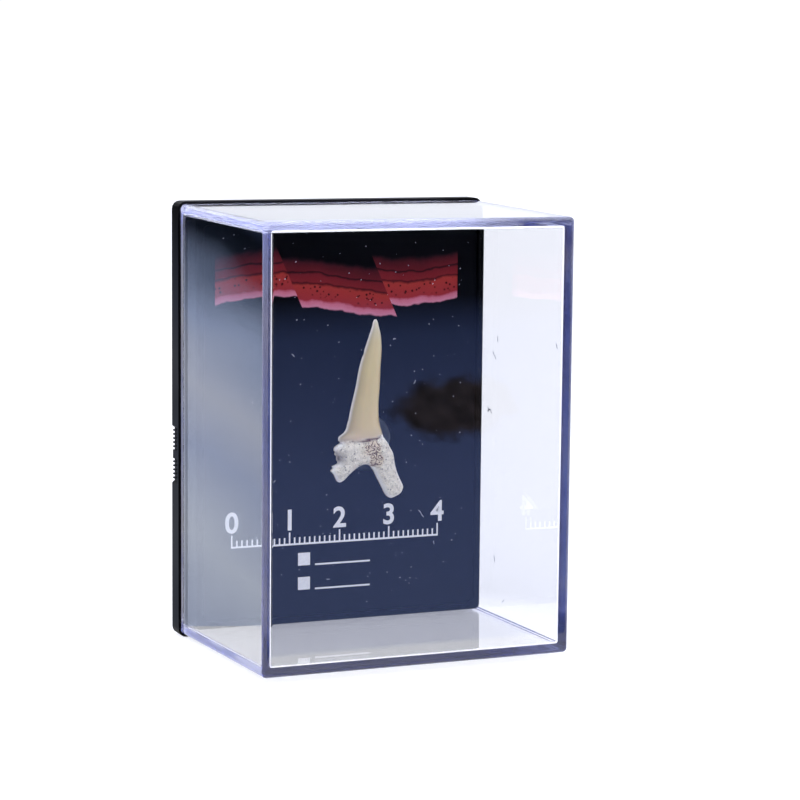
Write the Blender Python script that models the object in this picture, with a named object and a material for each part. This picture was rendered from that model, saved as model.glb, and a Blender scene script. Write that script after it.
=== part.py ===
"""Fossil shark tooth in a small display box.

The box stands on one short side. X is its width, Y its depth with the viewer at -Y, and Z is up.
The origin is at the middle of the box's footprint, on the surface that it stands on.
"""

import math

import bmesh
import bpy
import numpy as np
from mathutils import Vector, geometry, noise

MM = 0.001

# Clear cover, pushed over the base from the front
COVER_WIDTH = 60.0 * MM
COVER_HEIGHT = 80.0 * MM
COVER_DEPTH = 42.0 * MM
COVER_DRAFT = 0.7 * MM
COVER_WALL = 1.6 * MM
COVER_EDGE_RADIUS = 0.9 * MM
COVER_INNER_RADIUS = 0.5 * MM

# Black base: a flange behind the cover, and a plug inside it
FLANGE_LIP = 0.5 * MM
FLANGE_THICKNESS = 4.0 * MM
FLANGE_CORNER = 1.5 * MM
FLANGE_EDGE = 0.3 * MM
PLUG_HEIGHT = 6.2 * MM
PLUG_CLEARANCE = 0.4 * MM
PLUG_CORNER = 0.9 * MM
PLUG_EDGE = 0.25 * MM
RIM_WIDTH = 1.2 * MM
RECESS_DEPTH = 1.0 * MM
RECESS_CORNER = 1.6 * MM
BASE_WALL = 1.6 * MM
HOLLOW_CORNER = 1.2 * MM
EJECTOR_RADIUS = 2.5 * MM
EJECTOR_DEPTH = 0.2 * MM
EJECTOR_X = 20.0 * MM
EJECTOR_Z = 28.0 * MM

# Finger grip cut into both long edges of the flange, behind a front lip that runs on unbroken
GRIP_LENGTH = 10.5 * MM
GRIP_BELOW_MIDDLE = 6.5 * MM
GRIP_DEPTH = 0.6 * MM
GRIP_FRONT_LIP = 0.7 * MM
GRIP_RIB_PITCH = 0.76 * MM
GRIP_RIB_WIDTH = 0.36 * MM
GRIP_RIB_HEIGHT = 0.35 * MM
GRIP_RIBS_PER_SIDE = 5
GRIP_LAND_WIDTH = 1.7 * MM

CARD_THICKNESS = 0.4 * MM
CARD_CORNER = 1.2 * MM
TOUCHING_GAP = 0.3 * MM

PAD_RADIUS = 6.0 * MM
PAD_THICKNESS = 1.0 * MM
PAD_CENTRE = (3.5 * MM, 36.3 * MM)

# The tooth is placed by its neck, where the enamel crown meets the root
NECK = (2.0 * MM, 37.3 * MM)
TOOTH_BACK_CLEARANCE = 0.3 * MM
ROOT_BACK = 1.7 * MM

# Height over the neck, left edge, right edge, bulge to the front, bulge to the back, all in mm
CROWN_STATIONS = (
    (-0.4, -4.70, 4.50, 2.25, 1.35),
    (0.3, -4.70, 4.20, 2.40, 1.45),
    (1.0, -3.70, 3.98, 2.40, 1.45),
    (2.8, -2.82, 3.50, 2.25, 1.35),
    (5.5, -2.32, 3.38, 2.05, 1.20),
    (9.5, -1.30, 3.65, 1.85, 1.05),
    (13.5, -0.50, 3.80, 1.55, 0.90),
    (17.0, 0.55, 3.92, 1.20, 0.75),
    (19.3, 1.28, 3.77, 0.90, 0.60),
    (20.8, 1.80, 3.28, 0.62, 0.44),
    (21.6, 2.12, 2.95, 0.38, 0.30),
    (22.0, 2.35, 2.75, 0.14, 0.12),
)
CROWN_LEAN = 0.5

# The root's outline from the right end of the neck round both lobes to the left end, in mm
ROOT_OUTLINE = (
    (4.30, -0.10), (5.42, -1.78), (6.16, -3.14), (6.46, -4.74), (6.89, -6.39), (7.55, -7.95),
    (8.20, -9.25), (8.14, -10.05), (7.70, -10.80), (6.81, -11.30), (5.85, -11.59), (5.11, -11.25),
    (4.49, -10.42), (3.81, -9.06), (3.05, -7.69), (2.37, -6.34), (1.61, -5.36), (0.75, -5.00),
    (-0.40, -5.17), (-1.40, -5.72), (-2.54, -6.62), (-3.66, -7.70), (-4.50, -8.11),
    (-5.05, -7.75), (-5.52, -6.74), (-6.18, -5.88), (-5.85, -5.22), (-4.88, -4.45),
    (-5.08, -3.61), (-5.27, -2.74), (-5.60, -1.98), (-5.22, -1.36), (-4.50, -0.70),
    (-4.10, 0.30), (-2.40, 1.10), (0.00, 1.30), (2.60, 1.10),
)
ROOT_FRONT = 1.75
ROOT_BULGE = 0.85
ROOT_BULGE_CENTRE = (0.3, -2.2)
ROOT_BULGE_SPREAD = 3.0
ROOT_EDGE_RADIUS = 1.5
ROOT_RINGS = (0.10, 0.35, 0.75, 1.2)
ROOT_GRID = 0.52
NECK_STEP = 0.40

# The worn patch, where the spongy inside of the root shows, and the broken left edge, in mm
PATCH_CENTRE = (2.2, -2.9)
PATCH_RADII = (2.1, 2.7)
PATCH_DEPTH = 0.30
BREAK_CENTRE = (-5.0, -3.4)
BREAK_RADIUS = 1.9
BREAK_DEPTH = 0.9

FLANGE_FRONT = (COVER_DEPTH - FLANGE_THICKNESS) / 2
FLANGE_BACK = FLANGE_FRONT + FLANGE_THICKNESS
COVER_FRONT = FLANGE_FRONT - COVER_DEPTH
PLUG_FRONT = FLANGE_FRONT - PLUG_HEIGHT
RECESS_FLOOR = PLUG_FRONT + RECESS_DEPTH
CARD_BACK = RECESS_FLOOR - TOUCHING_GAP
CARD_FACE = CARD_BACK - CARD_THICKNESS
PAD_BACK = CARD_FACE - TOUCHING_GAP
PAD_FACE = PAD_BACK - PAD_THICKNESS
TOOTH_PLANE = PAD_FACE - TOOTH_BACK_CLEARANCE - ROOT_BACK
MIDDLE_HEIGHT = FLANGE_LIP + COVER_HEIGHT / 2


def clear_scene():
    for obj in list(bpy.data.objects):
        bpy.data.objects.remove(obj, do_unlink=True)


def plastic(name, colour, roughness, transmission=0.0, ior=1.5):
    """A material of the part's own colour, clear where transmission is 1."""
    material = bpy.data.materials.new(name)
    material.use_nodes = True
    shader = material.node_tree.nodes["Principled BSDF"]
    shader.inputs["Base Color"].default_value = (*colour, 1.0)
    shader.inputs["Roughness"].default_value = roughness
    shader.inputs["Metallic"].default_value = 0.0
    shader.inputs["Transmission Weight"].default_value = transmission
    shader.inputs["IOR"].default_value = ior
    material.diffuse_color = (*colour, 1.0)
    return material


def finish_object(name, bm, material, smooth_angle=40.0):
    """Turns the mesh being edited into a named object with one material and smooth round faces."""
    mesh = bpy.data.meshes.new(name)
    bmesh.ops.recalc_face_normals(bm, faces=bm.faces)
    bm.to_mesh(mesh)
    bm.free()
    mesh.materials.append(material)
    mesh.shade_smooth()
    mesh.set_sharp_from_angle(angle=math.radians(smooth_angle))
    obj = bpy.data.objects.new(name, mesh)
    bpy.context.scene.collection.objects.link(obj)
    return obj


def rounded_ring(width, height, radius, y, corner_segments=4):
    """One closed ring of points: a rectangle with round corners, upright at depth y."""
    points = []
    for corner, (side_x, side_z) in enumerate(((1, 1), (-1, 1), (-1, -1), (1, -1))):
        centre_x = side_x * (width / 2 - radius)
        centre_z = side_z * (height / 2 - radius)
        for step in range(corner_segments + 1):
            angle = math.radians(90 * (corner + step / corner_segments))
            x = centre_x + radius * math.cos(angle)
            z = MIDDLE_HEIGHT + centre_z + radius * math.sin(angle)
            points.append(Vector((x, y, z)))
    return points


def loft(bm, rings):
    """Skins a row of rings that have equally many points, and closes both ends."""
    rows = [[bm.verts.new(point) for point in ring] for ring in rings]
    for near, far in zip(rows, rows[1:]):
        for i in range(len(near)):
            j = (i + 1) % len(near)
            bm.faces.new((near[i], near[j], far[j], far[i]))
    bm.faces.new(rows[0])
    bm.faces.new(reversed(rows[-1]))


def edge_round(width, height, corner, y_face, radius, inward, segments=4):
    """The rings that carry a side wall round into a face at y_face. inward points into the solid."""
    rings = []
    for step in range(segments + 1):
        angle = math.radians(90 * step / segments)
        inset = radius * (1 - math.cos(angle))
        y = y_face + inward * radius * (1 - math.sin(angle))
        ring_corner = max(corner - inset, 0.02 * MM)
        rings.append(rounded_ring(width - 2 * inset, height - 2 * inset, ring_corner, y))
    return rings


def drafted(size, y):
    """A cover size at depth y: the walls lean in a little towards the front."""
    return size - 2 * COVER_DRAFT * (FLANGE_FRONT - y) / COVER_DEPTH


def make_cover():
    """Five clear walls in one moulding, open at the back."""
    rim = FLANGE_FRONT - TOUCHING_GAP
    inner_front = COVER_FRONT + COVER_WALL
    wall = 2 * COVER_WALL
    outside = edge_round(
        drafted(COVER_WIDTH, COVER_FRONT),
        drafted(COVER_HEIGHT, COVER_FRONT),
        COVER_EDGE_RADIUS,
        COVER_FRONT,
        COVER_EDGE_RADIUS * 0.98,
        1,
    )
    inside = edge_round(
        drafted(COVER_WIDTH, inner_front) - wall,
        drafted(COVER_HEIGHT, inner_front) - wall,
        COVER_INNER_RADIUS,
        inner_front,
        COVER_INNER_RADIUS * 0.96,
        1,
        segments=3,
    )
    outer_rim = rounded_ring(
        drafted(COVER_WIDTH, rim), drafted(COVER_HEIGHT, rim), COVER_EDGE_RADIUS, rim
    )
    inner_rim = rounded_ring(
        drafted(COVER_WIDTH, rim) - wall, drafted(COVER_HEIGHT, rim) - wall, COVER_INNER_RADIUS, rim
    )
    bm = bmesh.new()
    loft(bm, outside[::-1] + [outer_rim, inner_rim] + inside)
    clear = plastic("clear_polystyrene", (0.86, 0.88, 0.97), 0.03, transmission=1.0, ior=1.58)
    return finish_object("cover", bm, clear)


def make_base():
    """Flange, plug, rim and recess in one hollow moulding, turned out as one row of rings."""
    flange_width = COVER_WIDTH + 2 * FLANGE_LIP
    flange_height = COVER_HEIGHT + 2 * FLANGE_LIP
    plug_width = COVER_WIDTH - 2 * COVER_WALL - 2 * PLUG_CLEARANCE
    plug_height = COVER_HEIGHT - 2 * COVER_WALL - 2 * PLUG_CLEARANCE
    recess_width = plug_width - 2 * RIM_WIDTH
    recess_height = plug_height - 2 * RIM_WIDTH
    hollow_width = plug_width - 2 * BASE_WALL
    hollow_height = plug_height - 2 * BASE_WALL
    hollow_floor = RECESS_FLOOR + BASE_WALL
    flange_outline = (flange_width, flange_height, FLANGE_CORNER)
    inset_outline = (
        flange_width - 2 * FLANGE_EDGE, flange_height - 2 * FLANGE_EDGE, FLANGE_CORNER - FLANGE_EDGE
    )
    plug_inset = (plug_width - 2 * PLUG_EDGE, plug_height - 2 * PLUG_EDGE, PLUG_CORNER - PLUG_EDGE)
    rings = [
        rounded_ring(hollow_width, hollow_height, HOLLOW_CORNER, hollow_floor),
        rounded_ring(hollow_width, hollow_height, HOLLOW_CORNER, FLANGE_BACK),
        rounded_ring(*inset_outline, FLANGE_BACK),
        rounded_ring(*flange_outline, FLANGE_BACK - FLANGE_EDGE),
        rounded_ring(*flange_outline, FLANGE_FRONT),
        rounded_ring(plug_width, plug_height, PLUG_CORNER, FLANGE_FRONT),
        rounded_ring(plug_width, plug_height, PLUG_CORNER, PLUG_FRONT + PLUG_EDGE),
        rounded_ring(*plug_inset, PLUG_FRONT),
        rounded_ring(recess_width, recess_height, RECESS_CORNER, PLUG_FRONT),
        rounded_ring(recess_width, recess_height, RECESS_CORNER, RECESS_FLOOR),
    ]
    bm = bmesh.new()
    loft(bm, rings)
    black = plastic("black_polystyrene", (0.012, 0.012, 0.016), 0.32)
    base = finish_object("base", bm, black)
    for cutter in (grip_cutter(-1), grip_cutter(1), ejector_cutter(hollow_floor)):
        cut = base.modifiers.new(cutter.name, "BOOLEAN")
        cut.operation = "DIFFERENCE"
        cut.solver = "EXACT"
        cut.object = cutter
    return base


def helper_object(name, bm):
    """A cutter: it shapes another piece and isn't a piece itself."""
    mesh = bpy.data.meshes.new(name)
    bmesh.ops.recalc_face_normals(bm, faces=bm.faces)
    bm.to_mesh(mesh)
    bm.free()
    obj = bpy.data.objects.new(name, mesh)
    bpy.context.scene.collection.objects.link(obj)
    obj.hide_render = True
    obj.display_type = "WIRE"
    return obj


def grip_cutter(side):
    """The shape of one finger grip: a shallow pocket with slanted ends, less the ribs on its floor."""
    face_x = COVER_WIDTH / 2 + FLANGE_LIP
    floor_x = face_x - GRIP_DEPTH
    rib_x = floor_x + GRIP_RIB_HEIGHT
    outside_x = face_x + GRIP_DEPTH
    half = GRIP_LENGTH / 2
    slant = GRIP_DEPTH
    profile = [(outside_x, -half - slant), (floor_x, -half + slant / 2)]
    first_rib = GRIP_LAND_WIDTH / 2 + GRIP_RIB_PITCH * 0.75
    centres = [first_rib + GRIP_RIB_PITCH * i for i in range(GRIP_RIBS_PER_SIDE)]
    lumps = [(-centre, GRIP_RIB_WIDTH) for centre in reversed(centres)]
    lumps.append((0.0, GRIP_LAND_WIDTH))
    lumps += [(centre, GRIP_RIB_WIDTH) for centre in centres]
    for centre, width in lumps:
        profile.append((floor_x, centre - width / 2))
        profile.append((rib_x, centre - width / 2 + 0.06 * MM))
        profile.append((rib_x, centre + width / 2 - 0.06 * MM))
        profile.append((floor_x, centre + width / 2))
    profile += [(floor_x, half - slant / 2), (outside_x, half + slant)]
    middle = MIDDLE_HEIGHT - GRIP_BELOW_MIDDLE
    near_y = FLANGE_FRONT + GRIP_FRONT_LIP
    far_y = FLANGE_BACK + GRIP_DEPTH
    bm = bmesh.new()
    loft(bm, [[Vector((side * x, y, middle + z)) for x, z in profile] for y in (near_y, far_y)])
    return helper_object("grip_cutter_left" if side < 0 else "grip_cutter_right", bm)


def ejector_cutter(hollow_floor):
    """Four shallow round marks that the mould's pins leave on the floor of the hollow."""
    bm = bmesh.new()
    for side_x in (-1, 1):
        for side_z in (-1, 1):
            centre = Vector((side_x * EJECTOR_X, 0.0, MIDDLE_HEIGHT + side_z * EJECTOR_Z))
            rings = []
            for y in (hollow_floor - EJECTOR_DEPTH, hollow_floor + 2 * EJECTOR_DEPTH):
                ring = []
                for step in range(20):
                    angle = math.tau * step / 20
                    offset = Vector((math.cos(angle), 0.0, math.sin(angle))) * EJECTOR_RADIUS
                    ring.append(centre + offset + Vector((0.0, y, 0.0)))
                rings.append(ring)
            loft(bm, rings)
    return helper_object("ejector_cutter", bm)


def make_card():
    """The printed black card, loose in the recess with a hair of room all round."""
    width = COVER_WIDTH - 2 * (COVER_WALL + PLUG_CLEARANCE + RIM_WIDTH + TOUCHING_GAP)
    height = COVER_HEIGHT - 2 * (COVER_WALL + PLUG_CLEARANCE + RIM_WIDTH + TOUCHING_GAP)
    bm = bmesh.new()
    loft(bm, [rounded_ring(width, height, CARD_CORNER, y) for y in (CARD_FACE, CARD_BACK)])
    return finish_object("card", bm, plastic("black_card", (0.010, 0.012, 0.022), 0.5))


def make_glue_pad():
    """A flattened round blob of clear adhesive between the card and the root."""
    bm = bmesh.new()
    rings = []
    steps = 5
    for step in range(steps + 1):
        angle = math.radians(90 * step / steps)
        radius = PAD_RADIUS - PAD_THICKNESS * 0.8 * (1 - math.cos(angle))
        y = PAD_BACK - PAD_THICKNESS * math.sin(angle)
        ring = []
        for spoke in range(36):
            turn = math.tau * spoke / 36
            wobble = 1 + 0.03 * math.sin(3 * turn + 0.6) + 0.02 * math.sin(5 * turn)
            x = PAD_CENTRE[0] + radius * wobble * math.cos(turn)
            z = PAD_CENTRE[1] + radius * wobble * math.sin(turn)
            ring.append(Vector((x, y, z)))
        rings.append(ring)
    loft(bm, rings)
    glue = plastic("clear_adhesive", (0.75, 0.80, 0.86), 0.15, transmission=1.0, ior=1.47)
    return finish_object("glue_pad", bm, glue, smooth_angle=60.0)


def tooth_point(across, up, forward):
    """A point given in mm from the neck, as a place in the box."""
    return Vector((NECK[0] + across * MM, TOOTH_PLANE - forward * MM, NECK[1] + up * MM))


def smooth_table(table, heights):
    """Reads every column of a table at new heights, along smooth curves through its rows."""
    table = np.array(table)
    rows = np.searchsorted(table[:, 0], heights, side="right") - 1
    rows = np.clip(rows, 0, len(table) - 2)
    slope = np.gradient(table[:, 1:], table[:, 0], axis=0)
    low, high = table[rows], table[rows + 1]
    span = (high[:, 0] - low[:, 0])[:, None]
    t = ((heights - low[:, 0]) / span[:, 0])[:, None]
    start = (2 * t**3 - 3 * t**2 + 1) * low[:, 1:] + (t**3 - 2 * t**2 + t) * span * slope[rows]
    end = (3 * t**2 - 2 * t**3) * high[:, 1:] + (t**3 - t**2) * span * slope[rows + 1]
    return start + end


def crown_lean(height):
    """The crown leans back from the viewer over its middle and comes forward again at the tip."""
    return -CROWN_LEAN * math.sin(math.pi * min(max(height / 22.0, 0.0), 1.0))


def crown_rings(ring_count=30, spokes=24):
    """The enamel crown as lens-shaped sections with two cutting edges, from the neck to the tip."""
    lowest, highest = CROWN_STATIONS[0][0], CROWN_STATIONS[-1][0]
    share = np.linspace(0.0, 1.0, ring_count)
    heights = lowest + (highest - lowest) * np.sin(share * math.pi / 2) ** 0.9
    heights[0] = lowest
    rings = []
    for height, (left, right, front, back) in zip(heights, smooth_table(CROWN_STATIONS, heights)):
        ring = []
        for spoke in range(spokes):
            angle = math.tau * spoke / spokes
            across = (left + right) / 2 + (right - left) / 2 * math.cos(angle)
            bulge = front if math.sin(angle) >= 0 else back
            depth = math.copysign(bulge * abs(math.sin(angle)) ** 1.2, math.sin(angle))
            ring.append(tooth_point(across, height, depth + crown_lean(height)))
        rings.append(ring)
    return rings


def rounded_outline(points, cuts=3):
    """A closed smooth curve through the points, with extra points between them."""
    points = np.array(points)
    before, after = np.roll(points, 1, axis=0), np.roll(points, -1, axis=0)
    beyond = np.roll(points, -2, axis=0)
    curve = []
    for i in range(len(points)):
        for cut in range(cuts):
            t = cut / cuts
            a = 2 * points[i]
            b = (after[i] - before[i]) * t
            c = (2 * before[i] - 5 * points[i] + 4 * after[i] - beyond[i]) * t**2
            d = (3 * points[i] - before[i] - 3 * after[i] + beyond[i]) * t**3
            curve.append((a + b + c + d) / 2)
    return np.array(curve)


def distance_to_outline(outline, places):
    """How far each place is from the outline, and whether it is inside it."""
    start, end = outline, np.roll(outline, -1, axis=0)
    along = end - start
    offset = places[:, None, :] - start[None, :, :]
    t = np.clip((offset * along).sum(-1) / (along**2).sum(-1), 0.0, 1.0)
    nearest = offset - t[:, :, None] * along
    distance = np.sqrt((nearest**2).sum(-1)).min(axis=1)
    above = (start[None, :, 1] > places[:, None, 1]) != (end[None, :, 1] > places[:, None, 1])
    rise = np.where(along[:, 1] == 0, 1e-9, along[:, 1])
    crossing = start[:, 0] + (places[:, None, 1] - start[:, 1]) * along[:, 0] / rise
    inside = (above & (places[:, None, 0] < crossing)).sum(axis=1) % 2 == 1
    return distance, inside


def near(places, centre, radii):
    """1 at the centre of an oval and 0 outside it, with a smooth fall between."""
    away = np.sqrt((((places - np.array(centre)) / np.array(radii)) ** 2).sum(axis=1))
    share = np.clip(1.0 - away, 0.0, 1.0)
    return share * share * (3 - 2 * share)


def root_front(places, distance):
    """The height of the root's front over the tooth's middle plane."""
    edge = np.clip(distance / ROOT_EDGE_RADIUS, 0.0, 1.0)
    round_edge = np.sqrt(1.0 - (1.0 - edge) ** 2)
    away = ((places - np.array(ROOT_BULGE_CENTRE)) ** 2).sum(axis=1)
    height = ROOT_FRONT + ROOT_BULGE * np.exp(-away / (2 * ROOT_BULGE_SPREAD**2))
    rough = np.array([noise.noise(Vector((x * 1.3, y * 1.3, 0.0))) for x, y in places])
    pores = np.array([noise.noise(Vector((x * 2.6, y * 2.6, 7.0))) for x, y in places])
    height = height + 0.10 * rough
    under_enamel = np.clip((places[:, 1] + 1.4) / 1.2, 0.0, 1.0)
    height = height - NECK_STEP * under_enamel
    patch = np.minimum(near(places, PATCH_CENTRE, PATCH_RADII) * 2.0, 1.0)
    height = height - patch * (PATCH_DEPTH * 0.5 + PATCH_DEPTH * np.abs(pores))
    broken = near(places, BREAK_CENTRE, (BREAK_RADIUS, BREAK_RADIUS))
    height = height - broken * (BREAK_DEPTH + 0.35 * pores)
    return round_edge * height


def root_back(places, distance):
    """The depth of the root's flatter back under the middle plane."""
    edge = np.clip(distance / ROOT_EDGE_RADIUS, 0.0, 1.0)
    return (ROOT_BACK / MM - 0.25) * np.sqrt(1.0 - (1.0 - edge) ** 2)


def make_root():
    """The forked root: its outline, filled with points that rise to the front and to the back."""
    outline = rounded_outline(ROOT_OUTLINE)
    tangent = np.roll(outline, -1, axis=0) - np.roll(outline, 1, axis=0)
    inward = np.stack([tangent[:, 1], -tangent[:, 0]], axis=1)
    inward /= np.linalg.norm(inward, axis=1)[:, None]
    inner = []
    for inset in ROOT_RINGS:
        ring = outline + inward * inset
        distance, inside = distance_to_outline(outline, ring)
        inner.append(ring[inside & (distance > inset * 0.97)][:: 1 if inset < 0.5 else 2])
    low, high = outline.min(axis=0), outline.max(axis=0)
    columns = np.arange(low[0], high[0], ROOT_GRID)
    rows = np.arange(low[1], high[1], ROOT_GRID)
    grid = np.array([(x + (k % 2) * ROOT_GRID / 2, y) for k, y in enumerate(rows) for x in columns])
    distance, inside = distance_to_outline(outline, grid)
    inner.append(grid[inside & (distance > ROOT_RINGS[-1] * 1.15)])
    places = np.concatenate([outline] + inner)
    loop = [(i, (i + 1) % len(outline)) for i in range(len(outline))]
    flat = geometry.delaunay_2d_cdt([Vector(place) for place in places], loop, [], 1, 1e-6)
    corners = np.array([tuple(corner) for corner in flat[0]])
    distance, _ = distance_to_outline(outline, corners)
    front, back = root_front(corners, distance), root_back(corners, distance)
    on_edge = distance < 1e-4
    bm = bmesh.new()
    front_verts, back_verts = [], []
    for place, rise, fall, shared in zip(corners, front, back, on_edge):
        if shared:
            vert = bm.verts.new(tooth_point(*place, 0.0))
            front_verts.append(vert)
            back_verts.append(vert)
        else:
            front_verts.append(bm.verts.new(tooth_point(*place, rise)))
            back_verts.append(bm.verts.new(tooth_point(*place, -fall)))
    for a, b, c in flat[2]:
        bm.faces.new((front_verts[a], front_verts[b], front_verts[c]))
        bm.faces.new((back_verts[c], back_verts[b], back_verts[a]))
    return helper_object("root_form", bm)


def make_tooth():
    """Crown and root grown together as one solid."""
    bm = bmesh.new()
    loft(bm, crown_rings())
    fossil = plastic("fossil_tooth", (0.66, 0.60, 0.44), 0.35)
    tooth = finish_object("tooth", bm, fossil, smooth_angle=50.0)
    join = tooth.modifiers.new("root", "BOOLEAN")
    join.operation = "UNION"
    join.solver = "EXACT"
    join.object = make_root()
    return tooth


clear_scene()
make_base()
make_card()
make_glue_pad()
make_tooth()
make_cover()
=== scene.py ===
# %% [markdown]
# # A fossil shark tooth in its display box
#
# The object is a slender fossil tooth with a forked root, glued to a printed card in a small clear box
# with a black base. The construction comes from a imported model, the frame: its sizes and places are
# fixed. This lesson gives the object its looks: the clear moulded cover, the black base, the printed
# card, the blob of glue, the worn tooth itself and the dust that such a box gathers.
#
# Everything is in metres, with Z up. X is the width of the box and the viewer stands at -Y.

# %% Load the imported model
import math
import random

import bmesh
import bpy
import numpy as np
from mathutils import Matrix, Vector, geometry, noise


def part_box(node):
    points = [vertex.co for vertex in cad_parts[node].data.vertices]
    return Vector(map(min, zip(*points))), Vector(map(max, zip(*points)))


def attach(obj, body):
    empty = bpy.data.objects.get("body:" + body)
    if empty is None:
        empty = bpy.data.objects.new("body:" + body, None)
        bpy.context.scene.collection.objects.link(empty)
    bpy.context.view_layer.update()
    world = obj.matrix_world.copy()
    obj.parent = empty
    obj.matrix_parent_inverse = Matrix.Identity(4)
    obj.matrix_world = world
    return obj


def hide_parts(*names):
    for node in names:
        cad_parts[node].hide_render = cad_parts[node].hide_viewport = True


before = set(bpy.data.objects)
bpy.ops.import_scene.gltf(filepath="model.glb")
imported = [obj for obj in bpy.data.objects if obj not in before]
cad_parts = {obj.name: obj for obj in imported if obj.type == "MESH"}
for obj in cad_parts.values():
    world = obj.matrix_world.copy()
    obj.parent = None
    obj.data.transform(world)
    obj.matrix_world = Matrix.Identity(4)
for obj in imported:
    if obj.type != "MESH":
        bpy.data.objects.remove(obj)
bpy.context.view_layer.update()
MM = 0.001
print("nodes:", sorted(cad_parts))

# %% [markdown]
# ## Helpers
#
# Colours are written as the hex values that a picture shows, and one function turns them into the linear
# values that the renderer works in. Another helper adds one node of any kind, with its settings and its
# inputs: an input is a plain value, another node's output, or a whole node, which stands for its first
# output. The size of a pattern is written per millimetre: a noise of scale 0.11 / MM changes about every
# nine millimetres.

# %% Helpers for materials and objects
def linear(hex_colour):
    """A hex sRGB colour as linear RGBA."""
    channels = [int(hex_colour[i : i + 2], 16) / 255 for i in (0, 2, 4)]
    return (*[c / 12.92 if c <= 0.04045 else ((c + 0.055) / 1.055) ** 2.4 for c in channels], 1.0)


def add_node(tree, kind, settings=None, inputs=None):
    """Adds a node and fills its inputs. settings are its properties, or the name of its operation."""
    node = tree.nodes.new(kind)
    if isinstance(settings, str):
        settings = {"operation": settings}
    for name, value in (settings or {}).items():
        setattr(node, name, value)
    for name, value in (inputs or {}).items():
        if isinstance(value, bpy.types.Node):
            value = value.outputs[0]
        if isinstance(value, bpy.types.NodeSocket):
            tree.links.new(value, node.inputs[name])
        else:
            node.inputs[name].default_value = value
    return node


def new_material(name, **shader_inputs):
    """A material with its tree and its Principled shader, some of whose inputs are given."""
    material = bpy.data.materials.new(name)
    material.use_nodes = True
    shader = material.node_tree.nodes["Principled BSDF"]
    for socket, value in shader_inputs.items():
        shader.inputs[socket.replace("_", " ")].default_value = value
    return material, material.node_tree, shader


def set_stops(ramp, stops):
    """Gives a colour ramp its stops: (position, hex colour or linear RGBA)."""
    elements = ramp.color_ramp.elements
    while len(elements) < len(stops):
        elements.new(0.5)
    for element, (position, colour) in zip(elements, stops):
        element.position = position
        element.color = linear(colour) if isinstance(colour, str) else colour


def new_object(name, data):
    """An object in the scene that holds the data."""
    made = bpy.data.objects.new(name, data)
    bpy.context.scene.collection.objects.link(made)
    return made


def evaluated_mesh(source):
    """What an object looks like after its modifiers, as a plain mesh."""
    graph = bpy.context.evaluated_depsgraph_get()
    return bpy.data.meshes.new_from_object(source.evaluated_get(graph), depsgraph=graph)


# %% [markdown]
# ## The camera
#
# The photograph was taken from the left and a little above, with a long lens: the sides of the box
# hardly draw together. The camera stands where the edges of the box in the picture meet again, and is
# turned by three angles. A rotation matrix made from its own right, up and view directions is easier to
# check than Euler angles, because each column can be read.

# %% Camera
CAMERA_PLACE = Vector((-184.89, -442.29, 107.71)) * MM
CAMERA_YAW = math.radians(23.312)
CAMERA_PITCH = math.radians(7.379)
CAMERA_ROLL = math.radians(0.553)
CAMERA_LENS = 119.604


def camera_axes(yaw, pitch, roll):
    """The camera's right, up and view directions."""
    ahead = Vector((math.sin(yaw) * math.cos(pitch), math.cos(yaw) * math.cos(pitch), -math.sin(pitch)))
    right = Vector((math.cos(yaw), -math.sin(yaw), 0.0))
    up = right.cross(ahead)
    return (
        right * math.cos(roll) + up * math.sin(roll),
        up * math.cos(roll) - right * math.sin(roll),
        ahead,
    )


def make_camera():
    right, up, ahead = camera_axes(CAMERA_YAW, CAMERA_PITCH, CAMERA_ROLL)
    turn = Matrix((right, up, -ahead)).transposed().to_4x4()
    data = bpy.data.cameras.new("camera")
    data.sensor_width = 36.0
    data.lens = CAMERA_LENS
    data.clip_start = 0.01
    camera = new_object("camera", data)
    camera.matrix_world = Matrix.Translation(CAMERA_PLACE) @ turn
    bpy.context.scene.camera = camera


make_camera()
print("camera is", round(CAMERA_PLACE.length / MM), "mm from the foot of the box")

# %% [markdown]
# ## The studio
#
# A clear box shows little but what stands around it, so the surroundings are half of its looks. It stands
# on a light table, a plate of milky acrylic lit from below, in a bright white room that is a little
# brighter on the right. A world shader lights through the clear walls with hardly any noise, where a small
# lamp would need thousands of samples. A photograph's white background is brighter than white, so its
# strength is over 1.
#
# Cards stand outside the picture, as they do in a product studio. The front pane mirrors a blue one that
# is dark at its top, and the left wall mirrors a pale one. Both fade with height along a colour ramp. They
# would also tint the tooth and show through the walls from behind, so their shader asks the light path:
# only light that a glossy face has mirrored finds them, and to all other light they are clear. A ragged
# brown shape stands before the box too, for the soft dark patch that the front wall mirrors. A small
# strip lamp works the other way round: only light on its way to a matt face finds it, so it lights the
# hazed upper rim and nothing mirrors it.

# %% Room light
ROOM_WHITE = "f3f6ff"
ROOM_STRENGTH = 1.05
RIGHT_LIGHT = 0.33
FRONT_LIGHT = 0.5
TOP_LIGHT = 3.2
TOP_FOCUS = 2.5


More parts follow.
